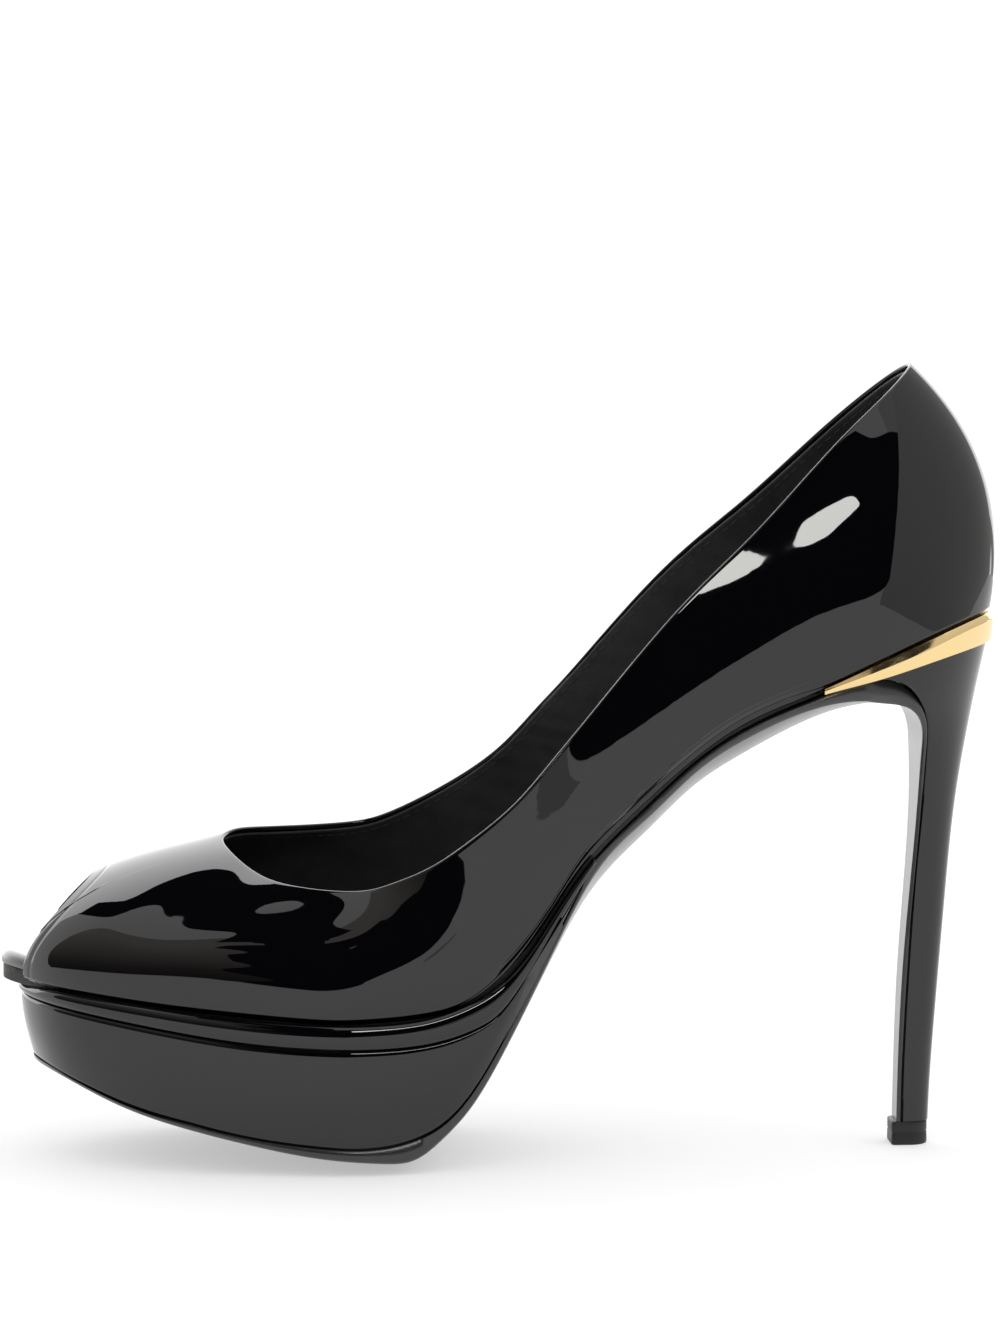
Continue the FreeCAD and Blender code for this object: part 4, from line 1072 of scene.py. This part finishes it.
def make_sweep():
    """White paper sweep: a floor that curves up into a wall well behind the shoe."""
    rows = [(FLOOR_FRONT, 0)]
    for turn in np.radians(np.arange(0, 91, 6)):
        rows.append((FLOOR_BACK + SWEEP_RADIUS * math.sin(turn),
                     SWEEP_RADIUS * (1 - math.cos(turn))))
    rows.append((FLOOR_BACK + SWEEP_RADIUS, WALL_TOP))
    vertices = [(x, y, z) for x in (-FLOOR_HALF_WIDTH, FLOOR_HALF_WIDTH) for y, z in rows]
    faces = grid_faces(2, len(rows), False, False)
    sweep = finish_mesh("studio_floor", vertices, faces)
    recipe = Recipe("studio_paper", (0.62, 0.62, 0.62), 0.9)
    recipe.set("Specular IOR Level", 0.1)
    recipe.set("Emission Color", (1, 1, 1, 1))
    recipe.set("Emission Strength", 0.42)
    recipe.bump(recipe.noise(300), 0.1, 0.05)
    sweep.data.materials.append(recipe.material)


def glow(name, *stops):
    """Light of a reflected patch: a colour for each of a few heights, given in metres."""
    material = bpy.data.materials.new(name)
    material.use_nodes = True
    nodes = material.node_tree.nodes
    links = material.node_tree.links
    nodes.clear()
    place = nodes.new("ShaderNodeTexCoord")
    split = nodes.new("ShaderNodeSeparateXYZ")
    ramp = nodes.new("ShaderNodeValToRGB")
    light = nodes.new("ShaderNodeEmission")
    output = nodes.new("ShaderNodeOutputMaterial")
    links.new(place.outputs["Object"], split.inputs[0])
    links.new(split.outputs["Z"], ramp.inputs[0])
    links.new(ramp.outputs[0], light.inputs["Color"])
    links.new(light.outputs[0], output.inputs["Surface"])
    points = ramp.color_ramp.elements
    while len(points) < len(stops):
        points.new(1.0)
    for point, (height, colour) in zip(points, stops):
        point.position = height
        point.color = (*colour, 1)
    return material


def even_glow(name, colour):
    return glow(name, (0.0, colour), (1.0, colour))


def reflected_patch(name, edge, material):
    """Distant patch with a smooth outline that shows only in reflections."""
    ring = ring_at(ring_poles(np.array(edge)), np.arange(0, len(edge), 1 / 8))
    mesh = bpy.data.meshes.new(name)
    mesh.from_pydata([tuple(point) for point in ring], [], [tuple(range(len(ring)))])
    mesh.materials.append(material)
    thing = bpy.data.objects.new(name, mesh)
    bpy.context.scene.collection.objects.link(thing)
    thing.visible_camera = False
    thing.visible_diffuse = False
    thing.visible_shadow = False
    thing.visible_transmission = False


def seen_from(centre, distance, angles):
    """Points in given directions: degrees round from the front, degrees up."""
    points = []
    for around, up in angles:
        level = distance * math.cos(math.radians(up))
        points.append((centre[0] + level * math.sin(math.radians(around)),
                       centre[1] - level * math.cos(math.radians(around)),
                       centre[2] + distance * math.sin(math.radians(up))))
    return points


# Places on the quarter and the vamp that mirror the room, in metres. The edges below are
# directions from there (degrees round from the front, degrees up), apart from the ceiling's,
# which are (x, y), and the softbox's, which are points.
QUARTER = (0.065, -0.024, 0.13)
VAMP = (-0.045, -0.036, 0.05)
CEILING_Z = 1.05
ROOM_EDGE = [
    (-13, -5), (-15, 6), (-14, 22), (-16, 36), (-9, 46), (8, 48), (30, 43), (50, 42),
    (63, 37), (60, 27), (53, 18), (43, 11), (32, 4), (25, 0), (15, -3), (3, -5)]
VAMP_REFLECTION_EDGE = [
    (5, -3), (-15, -4), (-13, 4), (-18, 11), (-14, 20), (-21, 30), (-15, 38), (-24, 46),
    (-8, 46), (-4, 30), (4, 14)]
CEILING_EDGE = [
    (-0.13, -1.12), (-0.44, -1.0), (-0.38, -0.66), (-0.27, -0.40), (-0.36, -0.10),
    (-0.30, 0.18), (-0.50, 0.18), (-0.74, 0.34), (-0.98, 0.95), (-0.66, 0.66),
    (-0.46, 0.42), (-0.32, 0.50), (-0.18, 0.62), (-0.10, 0.58), (-0.16, 0.30),
    (-0.20, 0.06), (-0.11, -0.16), (-0.06, -0.55)]
DIM_ROOM_EDGE = [
    (-12, -3), (-12, 25), (-16, 54), (-40, 60), (-70, 58), (-98, 50), (-104, 20),
    (-96, -3), (-60, -3), (-35, -3)]
PALE_WALL_EDGE = [
    (22, -6), (45, 20), (50, 55), (85, 62), (125, 60), (168, 45), (172, -5), (120, -6),
    (70, -6)]
BACK_GLOW_EDGE = [
    (128, -2), (128, 30), (135, 56), (180, 64), (225, 56), (232, 30), (232, -2), (180, -2)]
BLOOM_EDGE = [(14, 27), (20, 24), (30, 24), (42, 26), (44, 29.5), (34, 31), (22, 30)]
SOFTBOX_HIGHLIGHT_EDGE = [
    (0.015, -0.357, 0.232), (0.012, -0.350, 0.247), (0.014, -0.343, 0.262),
    (0.039, -0.344, 0.278), (0.104, -0.335, 0.295), (0.135, -0.336, 0.293),
    (0.142, -0.341, 0.281), (0.103, -0.352, 0.262), (0.061, -0.360, 0.238),
    (0.040, -0.361, 0.228), (0.026, -0.359, 0.225)]


def make_dark_surroundings():
    """Painted dark reflections: patches seen only in reflections, for the unlit room in front of
    the table, the dark shapes on the vamp, the ceiling, and a dim room that is darker low and
    lighter high.
    """
    # Painted dark reflections of the room and the ceiling: black patches seen only in reflections.
    black = glow("room_black", (0.0, (0.010, 0.010, 0.013)), (1.0, (0.012, 0.012, 0.016)))
    reflected_patch("dark_room", seen_from(QUARTER, 1.15, ROOM_EDGE), black)
    # Painted dark reflection: a black patch, seen only in reflections, outlined to give the
    # irregular dark shapes on the vamp.
    reflected_patch("dark_vamp_reflection", seen_from(VAMP, 1.12, VAMP_REFLECTION_EDGE), black)
    reflected_patch("dark_ceiling", [(x, y, CEILING_Z) for x, y in CEILING_EDGE], black)
    # Painted reflection of a dim room: a glowing patch seen only in reflections, darker low and
    # lighter high.
    dusk = glow("room_dusk", (0.0, (0.06, 0.056, 0.052)), (0.22, (0.12, 0.11, 0.10)),
                (0.5, (0.30, 0.27, 0.24)), (0.95, (0.55, 0.51, 0.46)))
    reflected_patch("dim_room", seen_from(VAMP, 1.3, DIM_ROOM_EDGE), dusk)


def make_bright_surroundings():
    """Painted reflections and highlights: glowing patches, seen only in reflections and lighting
    nothing, for a pale wall beside the heel, light from behind, and a softbox with its bloom.
    """
    # Painted reflection of a pale wall: a glowing patch seen only in reflections.
    pale = glow("room_pale", (0.0, (0.62, 0.61, 0.60)), (1.0, (0.80, 0.79, 0.78)))
    reflected_patch("pale_wall", seen_from(QUARTER, 1.5, PALE_WALL_EDGE), pale)
    # Painted glint: a bright glowing patch, seen only in reflections, that lights nothing.
    bright = glow("back_glow_reflection", (0.0, (2.4, 2.4, 2.4)), (1.0, (2.8, 2.8, 2.8)))
    reflected_patch("back_glow_reflection", seen_from(VAMP, 1.5, BACK_GLOW_EDGE), bright)
    # Painted highlight: the softbox is a glowing patch seen only in reflections; it lights
    # nothing.
    reflected_patch("softbox", SOFTBOX_HIGHLIGHT_EDGE, even_glow("softbox", (12.0, 12.0, 11.6)))
    # Painted bloom: a dim bluish glow round the softbox highlight, seen only in reflections.
    bloom = even_glow("painted_softbox_bloom", (0.10, 0.12, 0.16))
    reflected_patch("painted_softbox_bloom", seen_from(QUARTER, 1.1, BLOOM_EDGE), bloom)


def make_world():
    """Even white light from all round."""
    world = bpy.data.worlds.new("studio")
    world.use_nodes = True
    background = world.node_tree.nodes["Background"]
    background.inputs["Color"].default_value = (1, 1, 1, 1)
    background.inputs["Strength"].default_value = 1.08
    bpy.context.scene.world = world


CAMERA_PLACE = (-0.0650, -1.0939, 0.2037)
CAMERA_TARGET = (0, 0, 0.1078)


def make_camera():
    """Long lens from the outer side, a little above the shoe and towards its toe."""
    data = bpy.data.cameras.new("camera")
    data.lens = 133.6
    data.sensor_width = 36
    data.clip_end = 50
    camera = bpy.data.objects.new("camera", data)
    bpy.context.scene.collection.objects.link(camera)
    camera.location = CAMERA_PLACE
    direction = Vector(CAMERA_TARGET) - camera.location
    camera.rotation_euler = direction.to_track_quat("-Z", "Y").to_euler()
    bpy.context.scene.camera = camera


# ---------------- the scene

def build_shoe():
    patent = patent_leather()
    make_upper(patent)
    lining = lining_leather()
    make_lining(lining)
    make_stitches(thread())
    make_sock(sock_leather())
    make_insole_board(board_edge())
    make_rand(patent)
    make_platform_wall(patent)
    make_outsole(sole_leather())
    make_heel_wrap(patent)
    make_strip(gilt_metal())
    make_heel_tip(tip_rubber())
    dress_inner_nodes()


build_shoe()
make_world()
make_sweep()
make_dark_surroundings()
make_bright_surroundings()
make_camera()
bpy.context.scene.view_settings.view_transform = "Standard"
